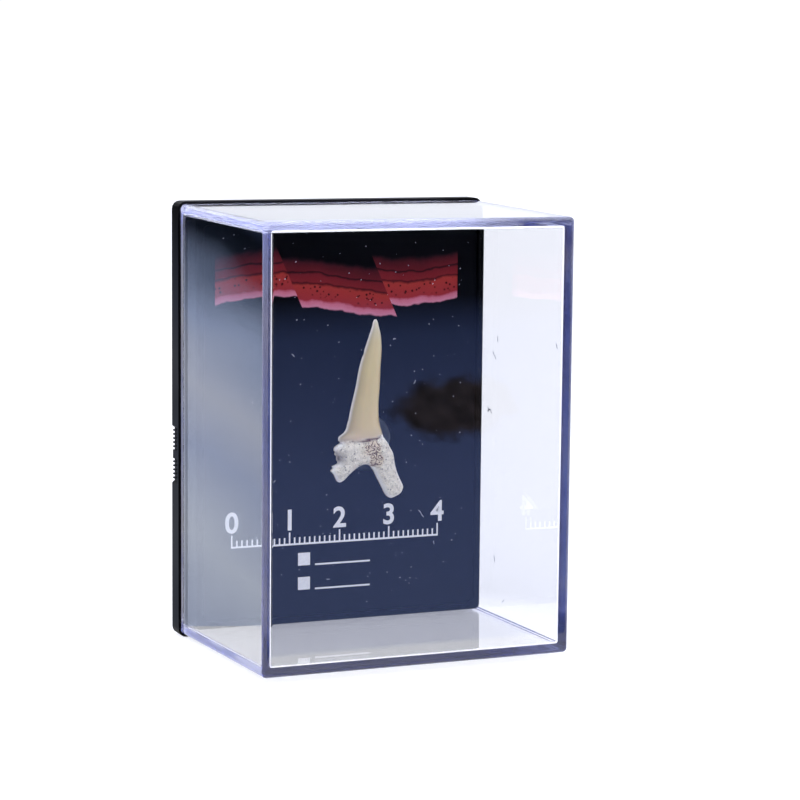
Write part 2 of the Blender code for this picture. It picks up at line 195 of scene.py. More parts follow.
def make_room():
    world = bpy.data.worlds.new("white_room")
    world.use_nodes = True
    tree = world.node_tree
    background = tree.nodes["Background"]
    background.inputs["Color"].default_value = linear(ROOM_WHITE)
    way = add_node(tree, "ShaderNodeTexCoord").outputs["Generated"]
    parts = add_node(tree, "ShaderNodeSeparateXYZ", inputs={0: way})
    strength = add_node(tree, "ShaderNodeMath", "MULTIPLY_ADD", {
        0: parts.outputs["X"], 1: RIGHT_LIGHT, 2: ROOM_STRENGTH})
    to_front = add_node(tree, "ShaderNodeMath", {"operation": "MULTIPLY", "use_clamp": True}, {
        0: parts.outputs["Y"], 1: -1.0})
    to_top = add_node(tree, "ShaderNodeMath", "MAXIMUM", {0: parts.outputs["Z"], 1: 0.0})
    focused = add_node(tree, "ShaderNodeMath", "POWER", {0: to_top, 1: TOP_FOCUS})
    for share, light in ((to_front, FRONT_LIGHT), (focused, TOP_LIGHT)):
        strength = add_node(tree, "ShaderNodeMath", "MULTIPLY_ADD", {0: share, 1: light, 2: strength})
    tree.links.new(strength.outputs[0], background.inputs["Strength"])
    bpy.context.scene.world = world


def show_true_tones():
    """Keeps white at white, and lets light bounce often enough inside the clear walls."""
    scene = bpy.context.scene
    scene.view_settings.view_transform = "Standard"
    scene.cycles.max_bounces = 96
    scene.cycles.glossy_bounces = 80
    scene.cycles.transmission_bounces = 16


make_room()
show_true_tones()
print("room light:", ROOM_STRENGTH, "in the middle,", ROOM_STRENGTH + RIGHT_LIGHT, "on the right")

# %% Floor
FLOOR_SIZE = 4.0
FLOOR_BELOW = 0.05 * MM
TABLE_TONE = "a0a0a1"
TABLE_GLOW = (0.78, 0.47)
TABLE_SPREAD = (36.0 * MM, 62.0 * MM)


def flat_panel(name, centre, across, up, material):
    """A flat rectangle. across and up are vectors of half its width and height."""
    mesh = bpy.data.meshes.new(name)
    centre, across, up = Vector(centre), Vector(across), Vector(up)
    corners = [centre - across - up, centre + across - up, centre + across + up, centre - across + up]
    mesh.from_pydata(corners, [], [(0, 1, 2, 3)])
    mesh.materials.append(material)
    panel = new_object(name, mesh)
    return panel


def light_table():
    """Milky acrylic lit from below: an even white, brightest at the middle, with hardly a shadow on it."""
    material, tree, shader = new_material(
        "milky_acrylic", Base_Color=linear(TABLE_TONE), Roughness=0.9, Specular_IOR_Level=0.1
    )
    place = add_node(tree, "ShaderNodeTexCoord").outputs["Object"]
    away = add_node(tree, "ShaderNodeVectorMath", "LENGTH", {0: place})
    glow = add_node(tree, "ShaderNodeMapRange", {"interpolation_type": "SMOOTHSTEP"}, {
        "Value": away.outputs["Value"], "From Min": TABLE_SPREAD[0], "From Max": TABLE_SPREAD[1],
        "To Min": TABLE_GLOW[0], "To Max": TABLE_GLOW[1]})
    shader.inputs["Emission Color"].default_value = linear("f8f9ff")
    tree.links.new(glow.outputs["Result"], shader.inputs["Emission Strength"])
    return material


floor = flat_panel(
    "floor", (0, 0, -FLOOR_BELOW), (FLOOR_SIZE / 2, 0, 0), (0, FLOOR_SIZE / 2, 0), light_table()
)
print("floor at", round(floor.data.vertices[0].co.z / MM, 3), "mm")

# %% Reflected panels
COOL_PANEL_AWAY = 20.0 * MM
COOL_PANEL_X = (-30.0 * MM, 48.0 * MM)
COOL_PANEL_TOP = 90.0 * MM
COOL_CARD_FADES = 70.0 * MM
SIDE_PANEL_PLACE = Vector((-40.5, 25.0, 42.0)) * MM
SIDE_PANEL_HALF = (9.5 * MM, 42.0 * MM)
SIDE_PANEL_TURN = math.radians(21.0)


def mirrored_share(tree):
    """1 for light that a glossy face mirrored and nothing matt has scattered, else 0."""
    path = add_node(tree, "ShaderNodeLightPath")
    mirrored = add_node(tree, "ShaderNodeMath", "GREATER_THAN", {0: path.outputs["Glossy Depth"], 1: 0.5})
    unscattered = add_node(tree, "ShaderNodeMath", "LESS_THAN", {
        0: path.outputs["Diffuse Depth"], 1: 0.5})
    return add_node(tree, "ShaderNodeMath", "MULTIPLY", {0: mirrored, 1: unscattered}).outputs[0]


def scattered_share(tree):
    """1 for light on its way to a matt face, else 0."""
    depth = add_node(tree, "ShaderNodeLightPath").outputs["Diffuse Depth"]
    return add_node(tree, "ShaderNodeMath", "GREATER_THAN", {0: depth, 1: 0.5}).outputs[0]


def card_material(name):
    """A material without its Principled shader, for a card that glows."""
    material = bpy.data.materials.new(name)
    material.use_nodes = True
    tree = material.node_tree
    tree.nodes.remove(tree.nodes["Principled BSDF"])
    return material, tree


def end_card(tree, colour, share):
    """Ends a card's shader: it glows with the colour where share is 1, and is clear where share is 0."""
    glow = add_node(tree, "ShaderNodeEmission", {}, {"Color": colour, "Strength": 1.0})
    clear = add_node(tree, "ShaderNodeBsdfTransparent")
    shown = add_node(tree, "ShaderNodeMixShader", {}, {0: share, 1: clear, 2: glow})
    tree.links.new(shown.outputs[0], tree.nodes["Material Output"].inputs["Surface"])


def glowing_card(name, stops, low, high, for_matt=False, sway=0.0, slant=0.0, middle=0.0):
    """A card that glows by height, for what mirrors it, or for what is matt.

    stops are (share of the height, hex colour, strength). sway is how far the tones wander in height,
    and slant how much higher they lie per metre to the right of middle.
    """
    material, tree = card_material(name)
    place = add_node(tree, "ShaderNodeTexCoord").outputs["Object"]
    parts = add_node(tree, "ShaderNodeSeparateXYZ", inputs={0: place})
    share = add_node(tree, "ShaderNodeMapRange", {}, {
        "Value": parts.outputs["Z"], "From Min": low, "From Max": high})
    drift = add_node(tree, "ShaderNodeTexNoise", {}, {"Vector": place, "Scale": 0.07 / MM, "Detail": 1.0})
    from_middle = add_node(tree, "ShaderNodeMath", "SUBTRACT", {0: drift, 1: 0.5})
    swayed = add_node(tree, "ShaderNodeMath", "MULTIPLY_ADD", {0: from_middle, 1: sway, 2: share})
    across = add_node(tree, "ShaderNodeMath", "SUBTRACT", {0: parts.outputs["X"], 1: middle})
    slanted = add_node(tree, "ShaderNodeMath", "MULTIPLY_ADD", {0: across, 1: -slant, 2: swayed})
    ramp = add_node(tree, "ShaderNodeValToRGB", {}, {"Fac": slanted})
    set_stops(ramp, [
        (position, (*[strength * c for c in linear(hex_colour)[:3]], 1.0))
        for position, hex_colour, strength in stops
    ])
    end_card(tree, ramp, scattered_share(tree) if for_matt else mirrored_share(tree))
    return material


def only_in_reflections(panel):
    """Hides the panel from the camera and from the light on matt surfaces."""
    panel.visible_camera = False
    panel.visible_diffuse = False
    panel.visible_shadow = False


cool_stops = (
    (0.0, "97aef5", 1.0), (0.45, "8ca3ee", 1.0), (0.82, "6075b5", 1.0), (0.92, "101522", 1.0),
    (1.0, "020308", 1.0),
)
cool_card = glowing_card("cool_side_of_the_room", cool_stops, 0.0, COOL_CARD_FADES)
pane_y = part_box("cover")[0].y
only_in_reflections(flat_panel(
    "cool_panel",
    (sum(COOL_PANEL_X) / 2, pane_y - COOL_PANEL_AWAY, COOL_PANEL_TOP / 2),
    ((COOL_PANEL_X[1] - COOL_PANEL_X[0]) / 2, 0, 0),
    (0, 0, COOL_PANEL_TOP / 2),
    cool_card,
))
side_stops = (
    (0.0, "d6e2ff", 1.25), (0.16, "e2ebff", 1.50), (0.36, "cfdcff", 1.32), (0.52, "e2e9ff", 1.40),
    (0.67, "c3d4fb", 1.25), (0.76, "8d9dc0", 1.0), (0.84, "1e2636", 1.0), (0.90, "0e1420", 1.0),
    (1.0, "46557c", 1.0),
)
side_card = glowing_card(
    "left_side_of_the_room", side_stops, 0.0, 2 * SIDE_PANEL_HALF[1],
    sway=0.12, slant=10.0, middle=SIDE_PANEL_PLACE.x,
)
only_in_reflections(flat_panel(
    "side_panel",
    SIDE_PANEL_PLACE,
    (SIDE_PANEL_HALF[0] * math.cos(SIDE_PANEL_TURN), SIDE_PANEL_HALF[0] * math.sin(SIDE_PANEL_TURN), 0),
    (0, 0, SIDE_PANEL_HALF[1]),
    side_card,
))
print("front card is", round(COOL_PANEL_AWAY / MM), "mm before the pane")

# %% [markdown]
# The shape before the box is dark, brown and out of focus. Its outline is a distance from its middle,
# stretched to an oval, with noise added before a soft threshold: noise added to a distance gives ragged
# clumps, where noise added to the colour would only give spots.

# %% Mirrored shape
SHAPE_PLACE = Vector((16.0 * MM, pane_y - COOL_PANEL_AWAY + 1.0 * MM, 44.0 * MM))
SHAPE_HALF = (15.0 * MM, 6.6 * MM)


def dark_shape():
    """A dark shape with ragged soft edges: something brown that stands before the box."""
    material, tree = card_material("dark_thing_before_the_box")
    place = add_node(tree, "ShaderNodeTexCoord").outputs["Object"]
    shrink = (1 / SHAPE_HALF[0], 0.0, 1 / SHAPE_HALF[1])
    centred = add_node(tree, "ShaderNodeMapping", {}, {
        "Vector": place, "Scale": shrink,
        "Location": (-SHAPE_PLACE.x * shrink[0], 0.0, -SHAPE_PLACE.z * shrink[2])})
    away = add_node(tree, "ShaderNodeVectorMath", "LENGTH", {0: centred})
    ragged = add_node(tree, "ShaderNodeTexNoise", {}, {"Vector": place, "Scale": 0.26 / MM, "Detail": 3.0})
    reach = add_node(tree, "ShaderNodeMath", "MULTIPLY_ADD", {
        0: ragged, 1: 0.9, 2: away.outputs["Value"]})
    share = add_node(tree, "ShaderNodeMapRange", {"interpolation_type": "SMOOTHSTEP"}, {
        "Value": reach, "From Min": 1.08, "From Max": 1.46, "To Min": 1.0, "To Max": 0.0})
    seen = add_node(tree, "ShaderNodeMath", "MULTIPLY", {0: share, 1: mirrored_share(tree)})
    tone = add_node(tree, "ShaderNodeValToRGB", {}, {"Fac": ragged})
    set_stops(tone, ((0.35, "3c3638"), (0.65, "74686c")))
    end_card(tree, tone, seen)
    return material


only_in_reflections(flat_panel(
    "dark_shape", SHAPE_PLACE, (1.2 * SHAPE_HALF[0], 0, 0), (0, 0, 1.2 * SHAPE_HALF[1]), dark_shape(),
))
print("mirrored shape is", round(2 * SHAPE_HALF[0] / MM), "mm wide")

# %% Strip lamp
LAMP_X = (-30.0 * MM, 23.0 * MM)
LAMP_Y = (13.4 * MM, 18.6 * MM)
LAMP_Z = 83.0 * MM
LAMP_STRENGTH = 24.0

lamp_stops = [(position, "eef3ff", LAMP_STRENGTH) for position in (0.0, 1.0)]
strip_lamp = flat_panel(
    "strip_lamp",
    (sum(LAMP_X) / 2, sum(LAMP_Y) / 2, LAMP_Z),
    ((LAMP_X[1] - LAMP_X[0]) / 2, 0, 0),
    (0, (LAMP_Y[1] - LAMP_Y[0]) / 2, 0),
    glowing_card("strip_lamp", lamp_stops, 0.0, 100.0 * MM, for_matt=True),
)
strip_lamp.visible_camera = False
print("strip lamp is", round((LAMP_X[1] - LAMP_X[0]) / MM), "mm long")

# %% [markdown]
# ## Mesh helpers
#
# Most of the pieces are lofts: a row of closed rings with equally many points, skinned one to the next.
# A ring here is a rectangle with round corners that stands upright at some depth y, and a rounded edge is
# a few such rings that shrink along a quarter circle.
#
# Smooth shading averages the directions of neighbouring faces. A large flat wall beside a rounded edge
# would be shaded as if it were bent, and a clear one would also bend the picture behind it. A narrow
# flat strip beside every rounding stops that: the bend then stays within the strip.

# %% Rings and lofts
MIDDLE_HEIGHT = 40.5 * MM
STRIP = 0.08 * MM


def rounded_ring(width, height, radius, y, corner_segments=8):
    """One closed ring: a rectangle with round corners, and a strip before and after each, at depth y."""
    points = []
    for corner, (side_x, side_z) in enumerate(((1, 1), (-1, 1), (-1, -1), (1, -1))):
        centre = Vector((side_x * (width / 2 - radius), y, MIDDLE_HEIGHT + side_z * (height / 2 - radius)))
        arc = []
        for step in range(corner_segments + 1):
            angle = math.radians(90 * (corner + step / corner_segments))
            arc.append(centre + radius * Vector((math.cos(angle), 0.0, math.sin(angle))))
        start = math.radians(90 * corner)
        along_start = Vector((-math.sin(start), 0.0, math.cos(start)))
        along_end = Vector((-math.cos(start), 0.0, -math.sin(start)))
        points += [arc[0] - STRIP * along_start, *arc, arc[-1] + STRIP * along_end]
    return points


def loft(bm, rings):
    """Skins a row of rings and closes both ends."""
    rows = [[bm.verts.new(point) for point in ring] for ring in rings]
    for near_row, far_row in zip(rows, rows[1:]):
        for i in range(len(near_row)):
            j = (i + 1) % len(near_row)
            bm.faces.new((near_row[i], near_row[j], far_row[j], far_row[i]))
    bm.faces.new(rows[0])
    bm.faces.new(reversed(rows[-1]))


def edge_round(width, height, corner, y_face, radius, segments=8):
    """Rings that carry a side wall round into a face at y_face, and a strip into that face."""
    places = []
    for step in range(segments + 1):
        angle = math.radians(90 * step / segments)
        places.append((radius * (1 - math.cos(angle)), y_face + radius * (1 - math.sin(angle))))
    places.append((radius + STRIP, y_face))
    rings = []
    for inset, y in places:
        rings.append(rounded_ring(width - 2 * inset, height - 2 * inset, max(corner - inset, 0.02 * MM), y))
    return rings


def finish_piece(name, bm, material, smooth_angle=40.0):
    """Turns the mesh being edited into a smooth shaded piece that rides on the box."""
    mesh = bpy.data.meshes.new(name)
    bmesh.ops.recalc_face_normals(bm, faces=bm.faces)
    bm.to_mesh(mesh)
    bm.free()
    mesh.materials.append(material)
    return place_piece(name, mesh, smooth_angle)


def place_piece(name, mesh, smooth_angle=40.0):
    """Puts a mesh in the scene as a piece of the object."""
    mesh.name = name
    mesh.shade_smooth()
    mesh.set_sharp_from_angle(angle=math.radians(smooth_angle))
    piece = new_object(name, mesh)
    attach(piece, "root")
    print(name, "has", len(mesh.polygons), "faces")
    return piece


# %% [markdown]
# ## The clear cover
#
# The real cover is injection moulded clear polystyrene, 1.6 mm thick, open at the back. It could be
# made as a cube with a Solidify modifier, but the walls lean in a little towards the front so that the
# part leaves its mould, and the radius outside is larger than the one inside. One loft that runs
# up the outside, round the rim and down the inside gives all of that exactly, as one closed wall, and
# clear plastic only bends light rightly when its mesh is closed.
#
# The walls carry light along like a window's edge. What shows in the box's bright edges is therefore the
# face of the open rim at the back, seen through the length of the wall. That face isn't polished, so it
# gets a material of its own: half hazed, streaky, and violet blue as clear plastic is along its length.

# %% Clear polystyrene
POLYSTYRENE_IOR = 1.59
RIM_TOP = 79.2 * MM
RIM_BOTTOM = 1.8 * MM
ABSORB_TINT = (0.30, 0.36, 0.88, 1.0)
ABSORB_DENSITY = 9.0


def clear_polystyrene():
    """Moulded clear polystyrene: sharp reflections, and a violet blue cast where one looks along a wall."""
    material, tree, shader = new_material(
        "clear_polystyrene",
        Base_Color=(1.0, 1.0, 1.0, 1.0),
        Roughness=0.0,
        IOR=POLYSTYRENE_IOR,
        Transmission_Weight=1.0,
    )
    absorb = add_node(tree, "ShaderNodeVolumeAbsorption", {}, {
        "Color": ABSORB_TINT, "Density": ABSORB_DENSITY})
    tree.links.new(absorb.outputs[0], tree.nodes["Material Output"].inputs["Volume"])
    return material


def across_rim(tree, parts):
    """How far out a place on the rim lies: 0 at its inner edge, 1 at its outer edge."""
    reached = []
    for value, middle, size in (("X", 0.0, COVER_SIZE[0]), ("Z", MIDDLE_HEIGHT, COVER_SIZE[1])):
        shifted = add_node(tree, "ShaderNodeMath", "SUBTRACT", {0: parts.outputs[value], 1: middle})
        away = add_node(tree, "ShaderNodeMath", "ABSOLUTE", {0: shifted})
        reached.append(add_node(tree, "ShaderNodeMath", "SUBTRACT", {
            0: away, 1: size / 2 - COVER_WALL}).outputs[0])
    outermost = add_node(tree, "ShaderNodeMath", "MAXIMUM", {0: reached[0], 1: reached[1]})
    return add_node(tree, "ShaderNodeMapRange", {}, {
        "Value": outermost, "From Min": 0.0, "From Max": COVER_WALL}).outputs["Result"]


def ground_rim():
    """The rim of the same plastic: half clear, half hazed and streaky, blue within a violet outer edge,
    with painted light at its top and painted shade at its bottom.
    """
    material, tree, shader = new_material(
        "hazed_polystyrene_rim", Roughness=0.05, IOR=POLYSTYRENE_IOR, Transmission_Weight=0.45
    )
    place = add_node(tree, "ShaderNodeTexCoord").outputs["Object"]
    streaks = add_node(tree, "ShaderNodeTexNoise", {}, {"Vector": place, "Scale": 0.11 / MM, "Detail": 4.0})
    # Streaks, from lavender to near white
    tone = add_node(tree, "ShaderNodeValToRGB", {}, {"Fac": streaks})
    set_stops(tone, ((0.38, "c4c6ea"), (0.62, "fafbff")))
    parts = add_node(tree, "ShaderNodeSeparateXYZ", inputs={0: place})
    height = parts.outputs["Z"]
    # A violet outer edge, and a hue that wanders between blue and white along the rim
    edging = add_node(tree, "ShaderNodeValToRGB", {}, {"Fac": across_rim(tree, parts)})
    set_stops(edging, (
        (0.0, "fffaf8"), (0.3, "e6e6f4"), (0.5, "ccd4fa"), (0.72, "e2def0"), (1.0, "b8acc4"),
    ))
    edged = add_node(tree, "ShaderNodeMix", {"data_type": "RGBA", "blend_type": "MULTIPLY"}, {
        0: 1.0, 6: tone, 7: edging})
    reaches = add_node(tree, "ShaderNodeTexNoise", {}, {
        "Vector": place, "Scale": 0.052 / MM, "Detail": 1.0})
    hue = add_node(tree, "ShaderNodeValToRGB", {}, {"Fac": reaches})
    set_stops(hue, ((0.42, "d6deff"), (0.56, "fffaf8")))
    varied = add_node(tree, "ShaderNodeMix", {"data_type": "RGBA", "blend_type": "MULTIPLY"}, {
        0: 1.0, 6: edged.outputs[2], 7: hue})
    # Painted light: pale at the top where the lamp's light meets the rim; painted shade: darker near the
    # bottom, over the floor
    painted_light_top = add_node(tree, "ShaderNodeMapRange", {}, {
        "Value": height, "From Min": RIM_TOP - 0.4 * MM, "From Max": RIM_TOP})
    painted_shade_bottom = add_node(tree, "ShaderNodeMapRange", {}, {
        "Value": height, "From Min": RIM_BOTTOM, "From Max": RIM_BOTTOM + 1.6 * MM,
        "To Min": 1.0, "To Max": 0.0})
    shaded = add_node(tree, "ShaderNodeMix", {"data_type": "RGBA", "blend_type": "MULTIPLY"}, {
        0: painted_shade_bottom, 6: varied.outputs[2], 7: linear("7c7cb8")})
    toned = add_node(tree, "ShaderNodeMix", {"data_type": "RGBA"}, {
        0: painted_light_top, 6: shaded.outputs[2], 7: linear("ececff")})
    tree.links.new(toned.outputs[2], shader.inputs["Base Color"])
    return material


# %% Cover
COVER_WALL = 1.6 * MM
COVER_DRAFT = 0.7 * MM
COVER_DEPTH = 42.0 * MM
COVER_SIZE = (60.0 * MM, 80.0 * MM)
COVER_EDGE_RADIUS = 0.9 * MM
COVER_INNER_RADIUS = 0.5 * MM
RIM_GAP = 0.04 * MM

cover_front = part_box("cover")[0].y
flange_front = cover_front + COVER_DEPTH


def drafted(size, y):
    """A cover size at depth y: the walls lean in towards the front."""
    return size - 2 * COVER_DRAFT * (flange_front - y) / COVER_DEPTH


def wall_rings(face, radius, wall, rim):
    """Rings of one side of the cover, from its rim to its front face: wall is how far it lies inside."""
    def sizes(y):
        return [drafted(size, y) - 2 * wall for size in COVER_SIZE]

    wall_end = face + radius
    rings = [rounded_ring(*sizes(y), radius, y) for y in (rim, wall_end + STRIP)]
    return rings + edge_round(*sizes(wall_end), radius, face, radius)


def make_cover():
    rim = flange_front - RIM_GAP
    outside = wall_rings(cover_front, COVER_EDGE_RADIUS, 0.0, rim)
    inside = wall_rings(cover_front + COVER_WALL, COVER_INNER_RADIUS, COVER_WALL, rim)
    bm = bmesh.new()
    loft(bm, outside[::-1] + inside)
    cover = finish_piece("cover_moulding", bm, clear_polystyrene())
    cover.data.materials.append(ground_rim())
    for face in cover.data.polygons:
        if all(cover.data.vertices[i].co.y > rim - 0.001 * MM for i in face.vertices):
            face.material_index = 1
    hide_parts("cover")
    return cover


make_cover()

# %% [markdown]
# ## The black base
#
# The base is the same plastic with black pigment: a flange that the cover stands against, a plug inside
# it and a shallow recess for the card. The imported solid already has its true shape, so it stays and only
# gets a finish. Moulded black plastic is glossy but never perfect: its gloss wanders a little, and the
# mould leaves a very fine grain.

# %% Black polystyrene
def black_polystyrene():
    """Moulded black polystyrene: near black, satin gloss with faint wandering patches."""
    material, tree, shader = new_material(
        "black_polystyrene", Base_Color=linear("040406"), IOR=POLYSTYRENE_IOR, Specular_IOR_Level=0.02
    )
    place = add_node(tree, "ShaderNodeTexCoord").outputs["Object"]
    patches = add_node(tree, "ShaderNodeTexNoise", {}, {"Vector": place, "Scale": 0.12 / MM, "Detail": 4.0})
    roughness = add_node(tree, "ShaderNodeMapRange", {}, {
        "Value": patches, "To Min": 0.34, "To Max": 0.5})
    tree.links.new(roughness.outputs["Result"], shader.inputs["Roughness"])
    grain = add_node(tree, "ShaderNodeTexNoise", {}, {"Vector": place, "Scale": 5 / MM, "Detail": 2.0})
    bump = add_node(tree, "ShaderNodeBump", {}, {"Height": grain, "Strength": 0.2, "Distance": 0.02 * MM})
    tree.links.new(bump.outputs["Normal"], shader.inputs["Normal"])
    return material


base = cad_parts["base"]
base.material_slots[0].material = black_polystyrene()

# %% [markdown]
# ## The printed card
#
# The card behind the tooth is black, with a coloured print across its top and white print under the
# tooth. The design here is a plain one: a section through folded rock layers, a scale in centimetres and
# two blank lines. The layers are a pattern in the card's own material, built from its Object
# coordinates. Each point's height is first shifted along a wave and two faults, and a colour ramp
# then turns height into layers.

# %% Rock layers
LAYERS_MIDDLE = 67.6
LAYERS_HALF = 4.6
LAYERS_X = (-24.3, 22.6)
LAYER_STOPS = (
    (0.00, "000000"), (0.03, "c07a92"), (0.12, "b8647c"), (0.17, "8f2a30"), (0.45, "96302c"),
    (0.50, "3a0c12"), (0.53, "701c22"), (0.66, "641820"), (0.70, "1c060c"), (0.73, "56141c"),
    (0.90, "3c0e16"), (0.96, "1c080e"), (1.00, "000000"),
)


def printed_card():
    """Coated black card with a matt print: black that hardly shines, maroon and brick red ink."""
    material, tree, shader = new_material(
        "printed_card", Roughness=0.55, Specular_IOR_Level=0.04
    )
    place = add_node(tree, "ShaderNodeTexCoord").outputs["Object"]
    in_mm = add_node(tree, "ShaderNodeVectorMath", "SCALE", {0: place, "Scale": 1 / MM})
    parts = add_node(tree, "ShaderNodeSeparateXYZ", inputs={0: in_mm})
    across, height = parts.outputs["X"], parts.outputs["Z"]
    # Height over the layers' foot, bent by a fold, thrown at two slanting faults, and rippled
    slanted = add_node(tree, "ShaderNodeMath", "MULTIPLY_ADD", {0: height, 1: 0.45, 2: across})
    wave = add_node(tree, "ShaderNodeMath", "MULTIPLY", {0: across, 1: 0.13})
    fold = add_node(tree, "ShaderNodeMath", "SINE", {0: wave})
    folded = add_node(tree, "ShaderNodeMath", "MULTIPLY_ADD", {0: fold, 1: 1.3, 2: height})
    shifted = folded.outputs[0]
    for fault_at, throw in ((19.0, 1.8), (37.0, -2.2)):
        beyond = add_node(tree, "ShaderNodeMath", "GREATER_THAN", {0: slanted, 1: fault_at})
        shifted = add_node(tree, "ShaderNodeMath", "MULTIPLY_ADD", {
            0: beyond, 1: throw, 2: shifted}).outputs[0]
    ripple = add_node(tree, "ShaderNodeTexNoise", {}, {"Vector": in_mm, "Scale": 0.35, "Detail": 3.0})
    shifted = add_node(tree, "ShaderNodeMath", "MULTIPLY_ADD", {0: ripple, 1: 1.4, 2: shifted}).outputs[0]
    layer = add_node(tree, "ShaderNodeMapRange", {}, {
        "Value": shifted, "From Min": LAYERS_MIDDLE - LAYERS_HALF, "From Max": LAYERS_MIDDLE + LAYERS_HALF})
    ramp = add_node(tree, "ShaderNodeValToRGB", {}, {"Fac": layer})
    set_stops(ramp, LAYER_STOPS)
    # Dark pebbles, only in the brick red layer
    pebbles = add_node(tree, "ShaderNodeTexVoronoi", {}, {"Vector": in_mm, "Scale": 1.15})
    spots = add_node(tree, "ShaderNodeMapRange", {}, {
        "Value": pebbles, "From Min": 0.20, "From Max": 0.30,
        "To Min": 0.9, "To Max": 0.0})
    in_layer = add_node(tree, "ShaderNodeMapRange", {}, {
        "Value": layer, "From Min": 0.18, "From Max": 0.26})
    under_layer = add_node(tree, "ShaderNodeMapRange", {}, {
        "Value": layer, "From Min": 0.42, "From Max": 0.5, "To Min": 1.0, "To Max": 0.0})
    spotted = add_node(tree, "ShaderNodeMath", "MULTIPLY", {0: spots, 1: in_layer})
    spotted = add_node(tree, "ShaderNodeMath", "MULTIPLY", {0: spotted, 1: under_layer})
    inked = add_node(tree, "ShaderNodeMix", {"data_type": "RGBA"}, {
        0: spotted, 6: ramp, 7: linear("080204")})
    # The band's two straight ends, on the card's own black
    from_left = add_node(tree, "ShaderNodeMath", "GREATER_THAN", {0: across, 1: LAYERS_X[0]})
    from_right = add_node(tree, "ShaderNodeMath", "LESS_THAN", {0: across, 1: LAYERS_X[1]})
    inside = add_node(tree, "ShaderNodeMath", "MULTIPLY", {0: from_left, 1: from_right})
    print_colour = add_node(tree, "ShaderNodeMix", {"data_type": "RGBA"}, {
        0: inside, 6: (0.0, 0.0, 0.0, 1.0), 7: inked.outputs[2]})
    black = add_node(tree, "ShaderNodeMix", {"data_type": "RGBA", "blend_type": "ADD"}, {
        0: 1.0, 6: print_colour.outputs[2], 7: linear("05060c")})
    tree.links.new(black.outputs[2], shader.inputs["Base Color"])
    return material


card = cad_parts["card"]
card.material_slots[0].material = printed_card()
card_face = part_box("card")[0].y
print("card face at y =", round(card_face / MM, 2), "mm")

# %% [markdown]
# ## White print
#
# White ink on black card is a film a few hundredths of a millimetre thick, so the scale is made as thin
# plates that sink into the card. Its ticks repeat, which is work for Geometry Nodes: a line of
# points, a small plate on each, and every tenth plate stretched. The numerals come from a text object,
# made a mesh before it is moved into place.

# %% Geometry Nodes helpers
def new_geometry_tree(name, inputs):
    """A geometry tree with named inputs. inputs maps a name to its socket kind and its value."""
    tree = bpy.data.node_groups.new(name, "GeometryNodeTree")
    tree.interface.new_socket("Geometry", in_out="OUTPUT", socket_type="NodeSocketGeometry")
    values = []
    for key, (kind, value) in inputs.items():
        socket = tree.interface.new_socket(key, in_out="INPUT", socket_type=kind)
        values.append((socket.identifier, value))
    given = tree.nodes.new("NodeGroupInput").outputs
    return tree, given, values


def end_tree(tree, geometry_out, material):
    """Realizes the instances, gives them their material and ends the tree."""
    real = add_node(tree, "GeometryNodeRealizeInstances", {}, {0: geometry_out})
    painted = add_node(tree, "GeometryNodeSetMaterial", {}, {"Geometry": real, "Material": material})
    add_node(tree, "NodeGroupOutput", {}, {0: painted})


def grown_mesh(tree, values):
    """Runs a geometry tree on an empty mesh and returns the result as a plain mesh."""
    host = new_object("host", bpy.data.meshes.new("host"))
    modifier = host.modifiers.new("grow", "NODES")
    modifier.node_group = tree
    for identifier, value in values:
        modifier[identifier] = value
    mesh = evaluated_mesh(host)
    host.modifiers.remove(modifier)
    bpy.data.objects.remove(host)
    return mesh


# %% Scale and lines
INK_THICKNESS = 0.04 * MM
SCALE_LEFT = -21.0 * MM
SCALE_CENTIMETRES = 4
SCALE_BASE = 17.6 * MM
TICK_WIDTH = 0.30 * MM
TICK_HEIGHT = 1.1 * MM
LONG_TICK = 1.9
NUMERAL_HEIGHT = 3.9 * MM
NUMERAL_GAP = 0.5 * MM
SCALE_LINE = 0.35 * MM
ENTRY_HEIGHTS = (13.1 * MM, 8.5 * MM)
ENTRY_SQUARE = (-9.3 * MM, -6.9 * MM, 0.2 * MM, 2.6 * MM)
ENTRY_LINE = (-5.9 * MM, 5.2 * MM, 0.1 * MM, 0.42 * MM)
ink_y = card_face + INK_THICKNESS / 4


def white_ink():
    """Screen printed white ink: a soft matt white that lets a little of the black through."""
    material, tree, shader = new_material("white_ink", Roughness=0.6, Specular_IOR_Level=0.15)
    mottle = add_node(tree, "ShaderNodeTexNoise", {}, {
        "Vector": add_node(tree, "ShaderNodeTexCoord").outputs["Object"], "Scale": 2.5 / MM, "Detail": 2.0})
    tone = add_node(tree, "ShaderNodeValToRGB", {}, {"Fac": mottle})
    set_stops(tone, ((0.0, "d4d5da"), (1.0, "f2f2f4")))
    tree.links.new(tone.outputs["Color"], shader.inputs["Base Color"])
    return material


